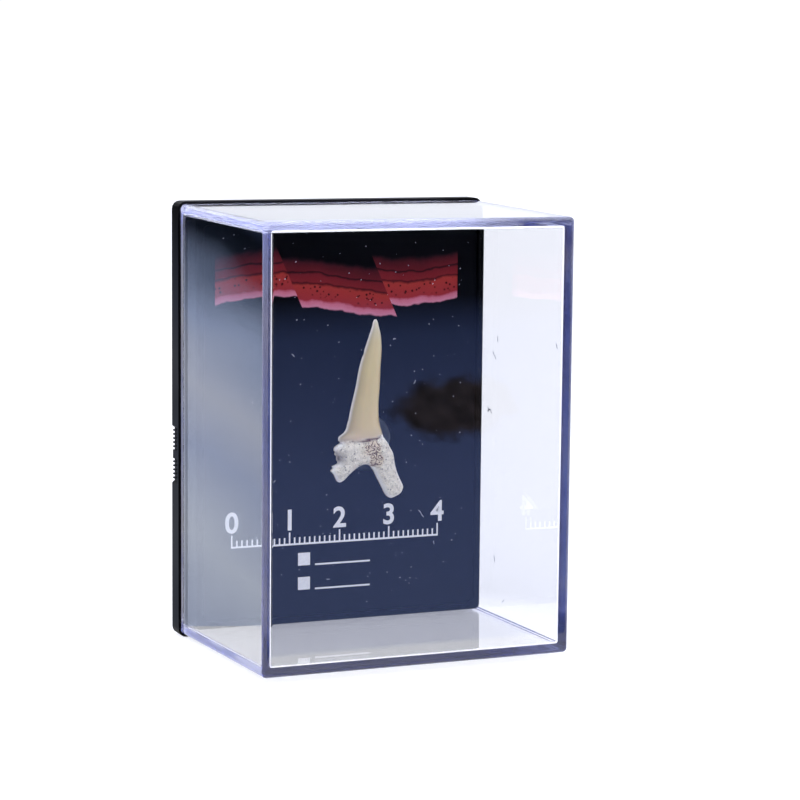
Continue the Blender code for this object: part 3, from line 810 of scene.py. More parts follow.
def scale_ticks(ink):
    """Plates every millimetre along the scale, with every tenth one longer."""
    tree, given, values = new_geometry_tree("scale_ticks", {
        "Count": ("NodeSocketInt", SCALE_CENTIMETRES * 10 + 1),
        "Pitch": ("NodeSocketFloat", 1.0 * MM),
        "Tick width": ("NodeSocketFloat", TICK_WIDTH),
        "Tick height": ("NodeSocketFloat", TICK_HEIGHT),
    })
    pitch = add_node(tree, "ShaderNodeCombineXYZ", inputs={"X": given["Pitch"]})
    line = add_node(tree, "GeometryNodeMeshLine", {}, {
        "Count": given["Count"], "Offset": pitch,
        "Start Location": (SCALE_LEFT, ink_y, SCALE_BASE)})
    size = add_node(tree, "ShaderNodeCombineXYZ", inputs={
        "X": given["Tick width"], "Y": INK_THICKNESS, "Z": given["Tick height"]})
    plate = add_node(tree, "GeometryNodeMeshCube", {}, {"Size": size})
    raised = add_node(tree, "ShaderNodeMath", "MULTIPLY", {0: given["Tick height"], 1: 0.5})
    lift = add_node(tree, "ShaderNodeCombineXYZ", inputs={"Z": raised})
    stood = add_node(tree, "GeometryNodeTransform", {}, {"Geometry": plate, "Translation": lift})
    number = add_node(tree, "GeometryNodeInputIndex")
    tenth = add_node(tree, "ShaderNodeMath", "MODULO", {0: number, 1: 10.0})
    is_long = add_node(tree, "ShaderNodeMath", "LESS_THAN", {0: tenth, 1: 0.5})
    stretch = add_node(tree, "ShaderNodeMath", "MULTIPLY_ADD", {0: is_long, 1: LONG_TICK - 1.0, 2: 1.0})
    scale = add_node(tree, "ShaderNodeCombineXYZ", inputs={"X": 1.0, "Y": 1.0, "Z": stretch})
    ticks = add_node(tree, "GeometryNodeInstanceOnPoints", {}, {
        "Points": line, "Instance": stood, "Scale": scale})
    end_tree(tree, ticks.outputs[0], ink)
    return grown_mesh(tree, values)


def plate(bm, low_x, high_x, low_z, high_z):
    """A thin upright plate of ink."""
    made = bmesh.ops.create_cube(bm, size=1.0)
    middle = Vector(((low_x + high_x) / 2, ink_y, (low_z + high_z) / 2))
    bmesh.ops.scale(bm, vec=(high_x - low_x, INK_THICKNESS, high_z - low_z), verts=made["verts"])
    bmesh.ops.translate(bm, vec=middle, verts=made["verts"])


def numeral_mesh(text, x, z):
    """One numeral as a thin solid plate, its lower left corner at x, z."""
    data = bpy.data.curves.new("numeral", "FONT")
    data.body = text
    data.size = NUMERAL_HEIGHT / 0.72
    data.extrude = INK_THICKNESS / 2
    data.align_x = "CENTER"
    data.resolution_u = 4
    data.offset = 0.12 * MM
    helper = new_object("numeral", data)
    mesh = evaluated_mesh(helper)
    bpy.data.objects.remove(helper)
    upright = Matrix.Rotation(math.radians(90), 4, "X")
    mesh.transform(Matrix.Translation((x, ink_y, z)) @ upright)
    return mesh


def make_white_print():
    ink = white_ink()
    bm = bmesh.new()
    bm.from_mesh(scale_ticks(ink))
    for number in range(SCALE_CENTIMETRES + 1):
        x = SCALE_LEFT + number * 10 * MM
        bm.from_mesh(numeral_mesh(str(number), x, SCALE_BASE + TICK_HEIGHT * LONG_TICK + NUMERAL_GAP))
    scale_end = SCALE_LEFT + SCALE_CENTIMETRES * 10 * MM
    plate(bm, SCALE_LEFT - TICK_WIDTH / 2, scale_end + TICK_WIDTH / 2, SCALE_BASE - SCALE_LINE, SCALE_BASE)
    for height in ENTRY_HEIGHTS:
        for left, right, low, high in (ENTRY_SQUARE, ENTRY_LINE):
            plate(bm, left, right, height + low, height + high)
    bmesh.ops.remove_doubles(bm, verts=bm.verts, dist=0.001 * MM)
    return finish_piece("white_print", bm, ink, smooth_angle=20.0)


make_white_print()

# %% [markdown]
# ## The blob of glue
#
# The tooth is held by a flattened drop of clear glue, whose edge shows beside the neck. It is a small
# lens with an uneven outline, lofted from rings whose radius wobbles. Set glue scatters light
# a little, which a rough transmission gives.

# %% Glue
PAD_RADII = (4.4 * MM, 5.4 * MM)
PAD_CENTRE = (4.4 * MM, 36.1 * MM)
PAD_STEPS = 10
PAD_SPOKES = 72


def clear_adhesive():
    """Set clear adhesive: soft, slightly clouded and faintly blue over the black card."""
    return new_material(
        "clear_adhesive",
        Base_Color=linear("a4b6cc"),
        Roughness=0.3,
        IOR=1.47,
        Transmission_Weight=0.96,
    )[0]


def make_glue():
    low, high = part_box("glue_pad")
    thickness = high.y - low.y
    bm = bmesh.new()
    rings = []
    for step in range(PAD_STEPS + 1):
        angle = math.radians(90 * step / PAD_STEPS)
        inset = thickness * 0.8 * (1 - math.cos(angle))
        ring = []
        for spoke in range(PAD_SPOKES):
            turn = math.tau * spoke / PAD_SPOKES
            wobble = 1 + 0.03 * math.sin(3 * turn + 0.6) + 0.02 * math.sin(5 * turn)
            wobble += 0.01 * math.sin(9 * turn + 1.1) - 0.006
            ring.append(Vector((
                PAD_CENTRE[0] + (PAD_RADII[0] - inset) * wobble * math.cos(turn),
                high.y - thickness * math.sin(angle),
                PAD_CENTRE[1] + (PAD_RADII[1] - inset) * wobble * math.sin(turn),
            )))
        rings.append(ring)
    loft(bm, rings)
    glue = finish_piece("glue_blob", bm, clear_adhesive(), smooth_angle=60.0)
    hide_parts("glue_pad")
    return glue


make_glue()

# %% [markdown]
# ## The tooth: crown
#
# The crown is a tall blade with two cutting edges. Each cross section is a lens: flat behind, fuller in
# front. A short table of stations gives the left edge, the right edge and the two bulges at a few
# heights, and a smooth curve through the table gives every height between, so the blade has no kinks.
# The loft is fine enough to carry the small nick in its left edge.

# %% Crown stations
NECK = (2.0 * MM, 37.3 * MM)
TOOTH_PLANE = 9.8 * MM
CROWN_STATIONS = (
    (-0.4, -4.70, 4.50, 2.25, 1.35),
    (0.3, -4.70, 4.20, 2.40, 1.45),
    (1.0, -3.70, 3.98, 2.40, 1.45),
    (2.8, -2.82, 3.50, 2.25, 1.35),
    (5.5, -2.15, 3.38, 2.05, 1.20),
    (9.5, -1.12, 3.65, 1.85, 1.05),
    (13.5, -0.32, 3.80, 1.55, 0.90),
    (17.0, 0.75, 3.90, 1.20, 0.75),
    (19.3, 1.48, 3.62, 0.90, 0.60),
    (20.8, 1.95, 3.17, 0.62, 0.44),
    (21.6, 2.12, 2.95, 0.38, 0.30),
    (22.0, 2.35, 2.75, 0.14, 0.12),
)
CROWN_LEAN = 0.5
NICK_HEIGHT = 15.6
NICK_DEPTH = 0.16
NICK_LENGTH = 0.35


def tooth_point(across, up, forward):
    """A point given in mm from the neck, as a place in the box."""
    return Vector((NECK[0] + across * MM, TOOTH_PLANE - forward * MM, NECK[1] + up * MM))


def smooth_table(table, heights):
    """Reads every column of a table at new heights, along smooth curves through its rows."""
    table = np.array(table)
    rows = np.clip(np.searchsorted(table[:, 0], heights, side="right") - 1, 0, len(table) - 2)
    slope = np.gradient(table[:, 1:], table[:, 0], axis=0)
    low, high = table[rows], table[rows + 1]
    span = (high[:, 0] - low[:, 0])[:, None]
    t = ((heights - low[:, 0]) / span[:, 0])[:, None]
    start = (2 * t**3 - 3 * t**2 + 1) * low[:, 1:] + (t**3 - 2 * t**2 + t) * span * slope[rows]
    end = (3 * t**2 - 2 * t**3) * high[:, 1:] + (t**3 - t**2) * span * slope[rows + 1]
    return start + end


def crown_lean(height):
    """The crown leans back from the viewer over its middle and comes forward again at the tip."""
    share = min(max(height / CROWN_STATIONS[-1][0], 0.0), 1.0)
    return -CROWN_LEAN * math.sin(math.pi * share)


def crown_rings(ring_count=130, spokes=96):
    """The crown's lens sections from the neck to the tip."""
    lowest, highest = CROWN_STATIONS[0][0], CROWN_STATIONS[-1][0]
    share = np.linspace(0.0, 1.0, ring_count)
    heights = lowest + (highest - lowest) * np.sin(share * math.pi / 2) ** 0.9
    heights[0] = lowest
    rings = []
    for height, (left, right, front, back) in zip(heights, smooth_table(CROWN_STATIONS, heights)):
        nick = NICK_DEPTH * math.exp(-(((height - NICK_HEIGHT) / NICK_LENGTH) ** 2))
        ring = []
        for spoke in range(spokes):
            angle = math.tau * spoke / spokes
            across = (left + right) / 2 + (right - left) / 2 * math.cos(angle)
            across += nick * max(-math.cos(angle), 0.0) ** 12
            bulge = front if math.sin(angle) >= 0 else back
            depth = math.copysign(bulge * abs(math.sin(angle)) ** 1.2, math.sin(angle))
            wave = 0.03 * noise.noise(Vector((across * 0.9, height * 0.25, depth)))
            ring.append(tooth_point(across, height, depth * (1 + wave) + crown_lean(height)))
        rings.append(ring)
    return rings


print("crown is", CROWN_STATIONS[-1][0], "mm tall over the neck")

# %% [markdown]
# ## The tooth: root
#
# The root forks into two lobes and has the rough skin of old bone. Its outline is a closed smooth curve
# through chosen points. Inside it a cloud of points is triangulated, and each point rises to the front by
# a height that is worked out from its place: high in the middle, round at the rim, lower under the
# enamel, eaten away where the spongy inside shows and ragged at the broken left edge. The worn patch gets
# the closest points, because its worm-like channels are only half a millimetre apart.

# %% Root outline
ROOT_OUTLINE = (
    (4.30, -0.10), (5.42, -1.78), (6.16, -3.14), (6.46, -4.74), (6.89, -6.39), (7.55, -7.95),
    (8.20, -9.25), (8.14, -10.05), (7.70, -10.80), (6.81, -11.30), (5.85, -11.59), (5.11, -11.25),
    (4.49, -10.42), (3.81, -9.06), (3.05, -7.69), (2.37, -6.34), (1.61, -5.36), (0.75, -5.00),
    (-0.40, -5.17), (-1.40, -5.72), (-2.54, -6.62), (-3.66, -7.70), (-4.50, -8.11),
    (-5.05, -7.75), (-5.52, -6.74), (-6.18, -5.88), (-5.85, -5.22), (-4.88, -4.45),
    (-5.08, -3.61), (-5.27, -2.74), (-5.60, -1.98), (-5.22, -1.36), (-4.50, -0.70),
    (-4.10, 0.30), (-2.40, 1.10), (0.00, 1.30), (2.60, 1.10),
)


def rounded_outline(points, cuts=8):
    """A closed smooth curve through the points, with extra points between them."""
    points = np.array(points)
    before, after = np.roll(points, 1, axis=0), np.roll(points, -1, axis=0)
    beyond = np.roll(points, -2, axis=0)
    curve = []
    for i in range(len(points)):
        for cut in range(cuts):
            t = cut / cuts
            a = 2 * points[i]
            b = (after[i] - before[i]) * t
            c = (2 * before[i] - 5 * points[i] + 4 * after[i] - beyond[i]) * t**2
            d = (3 * points[i] - before[i] - 3 * after[i] + beyond[i]) * t**3
            curve.append((a + b + c + d) / 2)
    return np.array(curve)


def distance_to_outline(outline, places):
    """How far each place is from the outline, and whether it is inside it."""
    start, end = outline, np.roll(outline, -1, axis=0)
    along = end - start
    offset = places[:, None, :] - start[None, :, :]
    t = np.clip((offset * along).sum(-1) / (along**2).sum(-1), 0.0, 1.0)
    distance = np.sqrt(((offset - t[:, :, None] * along) ** 2).sum(-1)).min(axis=1)
    above = (start[None, :, 1] > places[:, None, 1]) != (end[None, :, 1] > places[:, None, 1])
    rise = np.where(along[:, 1] == 0, 1e-9, along[:, 1])
    crossing = start[:, 0] + (places[:, None, 1] - start[:, 1]) * along[:, 0] / rise
    inside = (above & (places[:, None, 0] < crossing)).sum(axis=1) % 2 == 1
    return distance, inside


def ragged_outline(outline):
    """Jags along the root's broken left side. A shift by height alone can't make it cross itself."""
    jags = np.array([
        noise.noise(Vector((0.0, y * 1.9, 21.0))) + 0.5 * noise.noise(Vector((0.0, y * 5.0, 22.0)))
        for y in outline[:, 1]
    ])
    share = np.clip((-3.6 - outline[:, 0]) / 1.2, 0.0, 1.0) * np.clip(outline[:, 1] + 6.6, 0.0, 1.0)
    return outline + np.stack([0.45 * jags * share, np.zeros_like(jags)], axis=1)


root_outline = ragged_outline(rounded_outline(ROOT_OUTLINE))
print("root outline has", len(root_outline), "points")

# %% Root surface
ROOT_FRONT = 1.75
ROOT_BACK = 1.45
ROOT_BULGE = 0.85
ROOT_BULGE_CENTRE = (0.3, -2.2)
ROOT_BULGE_SPREAD = 3.0
ROOT_EDGE_RADIUS = 1.5
NECK_STEP = 0.40
PATCH_OVALS = (((1.3, -1.75), (2.3, 1.8)), ((2.15, -3.85), (1.9, 1.9)))
BREAK_CENTRE = (-5.0, -3.4)
BREAK_RADIUS = 1.9


def oval_distance(places, centre, radii):
    """0 at the centre of an oval, 1 on it and more outside."""
    return np.sqrt((((places - np.array(centre)) / np.array(radii)) ** 2).sum(axis=1))


def near(places, centre, radii):
    """1 at the centre of an oval and 0 outside it, with a smooth fall between."""
    share = np.clip(1.0 - oval_distance(places, centre, radii), 0.0, 1.0)
    return share * share * (3 - 2 * share)


def field(places, frequency, seed):
    """Smooth noise between -1 and 1 at each place."""
    return np.array([noise.noise(Vector((x * frequency, y * frequency, seed))) for x, y in places])


def channels(places):
    """The worn patch's worm-like channels: 1 in a channel, 0 on the walls between."""
    level = field(places, 0.75, 3.0) + 0.34 * field(places, 2.0, 5.0) + 0.08 * field(places, 5.0, 6.0)
    turn = np.abs((level * 2.1) % 1.0 - 0.5) * 2
    return np.clip((turn - 0.5) / 0.3, 0.0, 1.0)


def patch_share(places):
    """1 in the worn patch, 0 outside it, with a ragged edge: two ovals that run into each other."""
    inside = [1.0 - oval_distance(places, centre, radii) for centre, radii in PATCH_OVALS]
    ragged = np.maximum(*inside) * 4.0 + 0.9 * field(places, 1.4, 9.0) - 0.4
    return np.clip(ragged, 0.0, 1.0)


def pits(places, spacing, reach, seed):
    """Small round pits: 1 at the bottom of one, 0 between them."""
    found = np.array([
        noise.voronoi(Vector((x / spacing, y / spacing, seed)))[0][0] for x, y in places
    ])
    return np.clip(1.0 - found / reach, 0.0, 1.0)


def broken_share(places):
    """1 on the broken left edge of the root."""
    return near(places, BREAK_CENTRE, (BREAK_RADIUS, BREAK_RADIUS))


def root_front(places, distance):
    """The height of the root's front over the tooth's middle plane."""
    edge = np.clip(distance / ROOT_EDGE_RADIUS, 0.0, 1.0)
    round_edge = np.sqrt(1.0 - (1.0 - edge) ** 2)
    away = ((places - np.array(ROOT_BULGE_CENTRE)) ** 2).sum(axis=1)
    height = ROOT_FRONT + ROOT_BULGE * np.exp(-away / (2 * ROOT_BULGE_SPREAD**2))
    height = height + 0.06 * field(places, 1.1, 0.0) + 0.04 * field(places, 4.0, 1.0)
    height = height + 0.02 * field(places, 9.0, 2.0)
    height = height - 0.20 * pits(places, 0.85, 0.24, 0.4) - 0.10 * pits(places, 0.5, 0.26, 0.9)
    height = height - NECK_STEP * np.clip((places[:, 1] + 1.4) / 1.2, 0.0, 1.0)
    patch = patch_share(places)
    height = height - patch * (0.12 + 0.24 * channels(places))
    pores = field(places, 2.6, 7.0)
    crumbs = field(places, 6.0, 4.0)
    height = height - broken_share(places) * (0.25 + 0.55 * pores + 0.45 * crumbs)
    return round_edge * height


def root_back(places, distance):
    """The depth of the root's flatter back under the middle plane."""
    edge = np.clip(distance / ROOT_EDGE_RADIUS, 0.0, 1.0)
    rough = 0.05 * field(places, 1.7, 11.0) - 0.08 * pits(places, 0.7, 0.3, 0.2)
    return (ROOT_BACK - 0.06 + rough) * np.sqrt(1.0 - (1.0 - edge) ** 2)


# %% Root mesh
ROOT_RINGS = (0.03, 0.09, 0.18, 0.3, 0.45, 0.62, 0.8)
FRONT_GRID = 0.12
PATCH_GRID = 0.075
PATCH_ZONE = ((1.7, -2.8), (3.5, 3.9))
BACK_GRID = 0.30


def grid_points(low, high, step):
    """A staggered grid of places over a rectangle."""
    columns = np.arange(low[0], high[0], step)
    rows = np.arange(low[1], high[1], step)
    return np.array([(x + (k % 2) * step / 2, y) for k, y in enumerate(rows) for x in columns])


def rim_points(outline):
    """Rings just inside the outline, which carry the round edge."""
    tangent = np.roll(outline, -1, axis=0) - np.roll(outline, 1, axis=0)
    inward = np.stack([tangent[:, 1], -tangent[:, 0]], axis=1)
    inward /= np.linalg.norm(inward, axis=1)[:, None]
    rings = []
    for inset in ROOT_RINGS:
        ring = outline + inward * inset
        distance, inside = distance_to_outline(outline, ring)
        rings.append(ring[inside & (distance > inset * 0.97)][:: 1 if inset < 0.4 else 2])
    return np.concatenate(rings)


def filled(outline, inner):
    """Triangles between the outline and the points inside it."""
    places = np.concatenate([outline, inner])
    loop = [(i, (i + 1) % len(outline)) for i in range(len(outline))]
    flat = geometry.delaunay_2d_cdt([Vector(place) for place in places], loop, [], 1, 1e-6)
    corners = np.array([tuple(corner) for corner in flat[0]])
    return corners, flat[2]


def root_side(bm, edge_verts, inner, height, facing):
    """One side of the root, front or back, hung on the shared verts of the outline."""
    corners, triangles = filled(root_outline, inner)
    distance, _ = distance_to_outline(root_outline, corners)
    rise = height(corners, distance) * facing
    verts = []
    for place, up, away in zip(corners, rise, distance):
        if away < 1e-4:
            nearest = np.argmin(((root_outline - place) ** 2).sum(axis=1))
            verts.append(edge_verts[nearest])
        else:
            verts.append(bm.verts.new(tooth_point(*place, up)))
    for triangle in triangles:
        bm.faces.new([verts[i] for i in (triangle if facing > 0 else reversed(triangle))])


def make_root():
    bm = bmesh.new()
    edge_verts = [bm.verts.new(tooth_point(*place, 0.0)) for place in root_outline]
    low, high = root_outline.min(axis=0), root_outline.max(axis=0)
    rim = rim_points(root_outline)
    for step, height, facing in ((FRONT_GRID, root_front, 1), (BACK_GRID, root_back, -1)):
        grid = grid_points(low, high, step)
        distance, inside = distance_to_outline(root_outline, grid)
        grid = grid[inside & (distance > ROOT_RINGS[-1] * 1.1)]
        if facing > 0:
            grid = grid[patch_share(grid) < 0.02]
            fine = grid_points(low, high, PATCH_GRID)
            fine = fine[oval_distance(fine, *PATCH_ZONE) < 1.0]
            distance, inside = distance_to_outline(root_outline, fine)
            fine = fine[inside & (distance > ROOT_RINGS[-1] * 1.1) & (patch_share(fine) >= 0.02)]
            grid = np.concatenate([grid, fine])
        root_side(bm, edge_verts, np.concatenate([rim, grid]), height, facing)
    return bm


# %% [markdown]
# ## The tooth: finish
#
# The crown is enamel: dense, waxy and khaki after tens of millions of years in the ground, paler at the
# tip, with painted shade on its left flank and a painted highlight along its thin cutting edges. The root
# is bone: chalky, grey white, speckled where soil sits in its pores, brown where the spongy inside shows,
# with a painted highlight along its rounded rim. One material blends both, because the change at the neck
# is gradual. The mesh carries the masks that it needs as attributes, worked out from the same
# functions that shaped the surface, so colour and relief agree.

# %% Tooth masks
NECK_LINE_HEIGHT = 0.12
NECK_LINE_SLOPE = 0.11
MASKS = ("enamel", "cutting_edge_highlight", "worn", "channel", "broken", "root_edge_highlight", "soil", "height", "across")


def neck_line(across):
    """The height at which the enamel ends, wandering a little along the neck."""
    places = np.stack([across, np.zeros_like(across)], axis=1)
    straight = NECK_LINE_HEIGHT + NECK_LINE_SLOPE * across
    return straight + 0.2 * field(places, 0.8, 14.0) + 0.12 * field(places, 3.0, 15.0)


def smooth_step(value):
    """0 below 0, 1 over 1, and smooth between."""
    t = np.clip(value, 0.0, 1.0)
    return t * t * (3 - 2 * t)


def tooth_masks(mesh):
    """Writes the masks that the finish reads, each a number from 0 to 1 at every vertex."""
    co = np.zeros(len(mesh.vertices) * 3)
    mesh.vertices.foreach_get("co", co)
    co = co.reshape(-1, 3)
    across = (co[:, 0] - NECK[0]) / MM
    up = (co[:, 2] - NECK[1]) / MM
    forward = (TOOTH_PLANE - co[:, 1]) / MM
    places = np.stack([across, up], axis=1)
    over = up - neck_line(across)
    enamel = smooth_step((over + 0.12) / 0.24)
    heights = np.clip(up, CROWN_STATIONS[0][0], CROWN_STATIONS[-1][0])
    edges = smooth_table(CROWN_STATIONS, heights)
    to_edge = np.minimum(across - edges[:, 0], edges[:, 1] - across)
    front = (forward > 0.05).astype(float)
    patch = patch_share(places) * front
    in_line = np.exp(-(((over + 0.32) / 0.20) ** 2)) * front
    along_line = 4.0 * near(places, (0.9, -0.2), (2.7, 2.2)) + 0.3 * field(places, 2.4, 17.0)
    soil = in_line * (0.24 + along_line)
    bare_bone = 1 - enamel
    # Painted highlight where the root's front rounds off towards its rim
    painted_edge_light = np.clip((1.5 - forward) / 0.8, 0.0, 1.0) * front * (1 - broken_share(places))
    masks = {
        "enamel": enamel,
        # painted highlight along the crown's cutting edges
        "cutting_edge_highlight": enamel * np.exp(-((np.clip(to_edge, 0.0, None) / 0.19) ** 2)),
        "worn": patch,
        "channel": patch * channels(places),
        "broken": broken_share(places) * front,
        "root_edge_highlight": painted_edge_light * bare_bone,
        "soil": np.clip(soil, 0.0, 1.0) * bare_bone,
        "height": up / CROWN_STATIONS[-1][0],
        "across": np.clip((across - edges[:, 0]) / (edges[:, 1] - edges[:, 0]), 0.0, 1.0),
    }
    for name in MASKS:
        attribute = mesh.attributes.new(name, "FLOAT", "POINT")
        attribute.data.foreach_set("value", masks[name].astype(np.float32))


# %% Fossil enamel and bone
def fossil_tooth():
    """Fossil enamel and bone: waxy khaki enamel over chalky grey white bone with soil in its pores."""
    material, tree, shader = new_material(
        "fossil_enamel_and_bone", Roughness=0.4, IOR=1.6, Subsurface_Weight=0.12, Subsurface_Scale=0.5 * MM
    )
    shader.inputs["Subsurface Radius"].default_value = (1.0, 0.7, 0.45)
    place = add_node(tree, "ShaderNodeTexCoord").outputs["Object"]
    mask = {}
    for name in MASKS:
        mask[name] = add_node(tree, "ShaderNodeAttribute", {"attribute_name": name}).outputs["Fac"]

    # Enamel: khaki by height, fine streaks along it, painted shade on its left flank, and a painted
    # highlight at the cutting edges
    along = add_node(tree, "ShaderNodeMapping", {}, {"Vector": place, "Scale": (1.0, 1.0, 0.12)})
    streaks = add_node(tree, "ShaderNodeTexNoise", {}, {
        "Vector": along, "Scale": 0.9 / MM, "Detail": 4.0})
    crown_tone = add_node(tree, "ShaderNodeValToRGB", {}, {"Fac": mask["height"]})
    set_stops(crown_tone, (
        (0.0, "d6c3a9"), (0.04, "d2be97"), (0.12, "d4c090"), (0.55, "d6c38d"), (0.82, "d4c494"),
        (1.0, "d8d0be"),
    ))
    streaked = add_node(tree, "ShaderNodeMix", {"data_type": "RGBA", "blend_type": "MULTIPLY"}, {
        0: 0.12, 6: crown_tone, 7: streaks.outputs["Color"]})
    # Painted shade: the enamel darkens towards the crown's left edge
    left_flank_painted_shade = add_node(tree, "ShaderNodeValToRGB", {}, {"Fac": mask["across"]})
    set_stops(left_flank_painted_shade, [
        (position, (grey, grey * 0.99, grey * 1.02, 1.0))
        for position, grey in ((0.0, 0.60), (0.14, 0.80), (0.34, 0.97), (1.0, 1.0))
    ])
    shade_painted_crown = add_node(tree, "ShaderNodeMix", {"data_type": "RGBA", "blend_type": "MULTIPLY"}, {
        0: 1.0, 6: streaked.outputs[2], 7: left_flank_painted_shade})
    # Painted highlight: the enamel turns pale cream along its cutting edges
    edged = add_node(tree, "ShaderNodeMix", {"data_type": "RGBA"}, {
        0: mask["cutting_edge_highlight"], 6: shade_painted_crown.outputs[2], 7: linear("f0ece4")})

    # Bone: clouded grey white, then worm lines, dark grains, stains and the masks, one over the other
    clouds = add_node(tree, "ShaderNodeTexNoise", {}, {
        "Vector": place, "Scale": 1.5 / MM, "Detail": 5.0, "Roughness": 0.7})
    bone_tone = add_node(tree, "ShaderNodeValToRGB", {}, {"Fac": clouds})
    set_stops(bone_tone, ((0.33, "cac3b6"), (0.62, "ece6d8")))
    grains = add_node(tree, "ShaderNodeTexVoronoi", {}, {"Vector": place, "Scale": 1.25 / MM})
    grain_spots = add_node(tree, "ShaderNodeMapRange", {}, {
        "Value": grains, "From Min": 0.12, "From Max": 0.27,
        "To Min": 0.75, "To Max": 0.0})
    worms = add_node(tree, "ShaderNodeTexNoise", {}, {
        "Vector": place, "Scale": 0.85 / MM, "Detail": 1.5, "Distortion": 0.8})
    from_line = add_node(tree, "ShaderNodeMath", "SUBTRACT", {0: worms, 1: 0.52})
    from_line = add_node(tree, "ShaderNodeMath", "ABSOLUTE", {0: from_line})
    worm_share = add_node(tree, "ShaderNodeMapRange", {}, {
        "Value": from_line, "From Min": 0.006, "From Max": 0.03, "To Min": 0.5, "To Max": 0.0})
    stains = add_node(tree, "ShaderNodeTexNoise", {}, {"Vector": place, "Scale": 0.26 / MM, "Detail": 2.0})
    stain_share = add_node(tree, "ShaderNodeMapRange", {}, {
        "Value": stains, "From Min": 0.58, "From Max": 0.72, "To Max": 0.30})
    bone = bone_tone.outputs["Color"]
    for share, blend, hex_colour in (
        (worm_share, "MIX", "8c877c"),
        (grain_spots, "MIX", "605c58"),
        (stain_share, "MIX", "c9b48e"),
        # painted highlight along the root's rounded rim
        (mask["root_edge_highlight"], "MIX", "fdfbf8"),
        (mask["worn"], "MIX", "dccdb8"),
        (mask["channel"], "MIX", "62443a"),
        (mask["broken"], "MULTIPLY", "a09c9c"),
        (mask["soil"], "MIX", "5a3934"),
    ):
        bone = add_node(tree, "ShaderNodeMix", {"data_type": "RGBA", "blend_type": blend}, {
            0: share, 6: bone, 7: linear(hex_colour)}).outputs[2]
    colour = add_node(tree, "ShaderNodeMix", {"data_type": "RGBA"}, {
        0: mask["enamel"], 6: bone, 7: edged.outputs[2]})
    tree.links.new(colour.outputs[2], shader.inputs["Base Color"])

    # Waxy enamel, chalky bone with a fine grain
    gloss = add_node(tree, "ShaderNodeMapRange", {}, {
        "Value": mask["enamel"], "To Min": 0.85, "To Max": 0.34})
    tree.links.new(gloss.outputs["Result"], shader.inputs["Roughness"])
    bone_share = add_node(tree, "ShaderNodeMapRange", {}, {
        "Value": mask["enamel"], "To Min": 1.0, "To Max": 0.08})
    bump = add_node(tree, "ShaderNodeBump", {}, {
        "Height": clouds, "Strength": bone_share, "Distance": 0.12 * MM})
    tree.links.new(bump.outputs["Normal"], shader.inputs["Normal"])
    return material


# %% Tooth
def form(name, bm):
    """A passing object that holds one half of the tooth until the two are joined."""
    mesh = bpy.data.meshes.new(name)
    bmesh.ops.recalc_face_normals(bm, faces=bm.faces)
    bm.to_mesh(mesh)
    bm.free()
    return new_object(name, mesh)


def make_tooth():
    """Crown and root joined by a Boolean union into one closed solid."""
    root = form("root_form", make_root())
    bm = bmesh.new()
    loft(bm, crown_rings())
    crown = form("crown_form", bm)
    join = crown.modifiers.new("root", "BOOLEAN")
    join.operation = "UNION"
    join.solver = "EXACT"
    join.object = root
    mesh = evaluated_mesh(crown)
    bpy.data.objects.remove(crown)
    bpy.data.objects.remove(root)
    tooth_masks(mesh)
    mesh.materials.clear()
    mesh.materials.append(fossil_tooth())
    tooth = place_piece("fossil_tooth", mesh, smooth_angle=50.0)
    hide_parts("tooth")
    return tooth


make_tooth()

# %% [markdown]
# ## Dust
#
# Plastic boxes draw dust. The specks are a tenth to a third of a millimetre across and lie on the card and
# on the front pane. Geometry Nodes scatter points over a rectangle with a fixed seed and put a flattened
# little sphere of random size on each. The fibres are too few to scatter: each is a thin curled tube that
# starts at a chosen place on the card or on the inside of the right wall, and bends by a fixed seed.

# %% Dust specks
DUST_SEED = 4
CARD_DUST = 45000.0
CARD_DUST_SIZE = (50 * MM, 70 * MM)
CARD_DUST_RADII = (0.03 * MM, 0.11 * MM)
PANE_DUST = 16000.0
PANE_DUST_SIZE = (52 * MM, 72 * MM)
PANE_DUST_RADII = (0.03 * MM, 0.09 * MM)


def dust(name, dark, light):
    """House dust: dry and matt, and it wanders between two tones."""
    material, tree, shader = new_material(name, Roughness=0.9, Specular_IOR_Level=0.1)
    shade = add_node(tree, "ShaderNodeTexNoise", {}, {
        "Vector": add_node(tree, "ShaderNodeTexCoord").outputs["Object"], "Scale": 0.3 / MM})
    tone = add_node(tree, "ShaderNodeValToRGB", {}, {"Fac": shade})
    set_stops(tone, ((0.0, dark), (1.0, light)))
    tree.links.new(tone.outputs["Color"], shader.inputs["Base Color"])
    return material


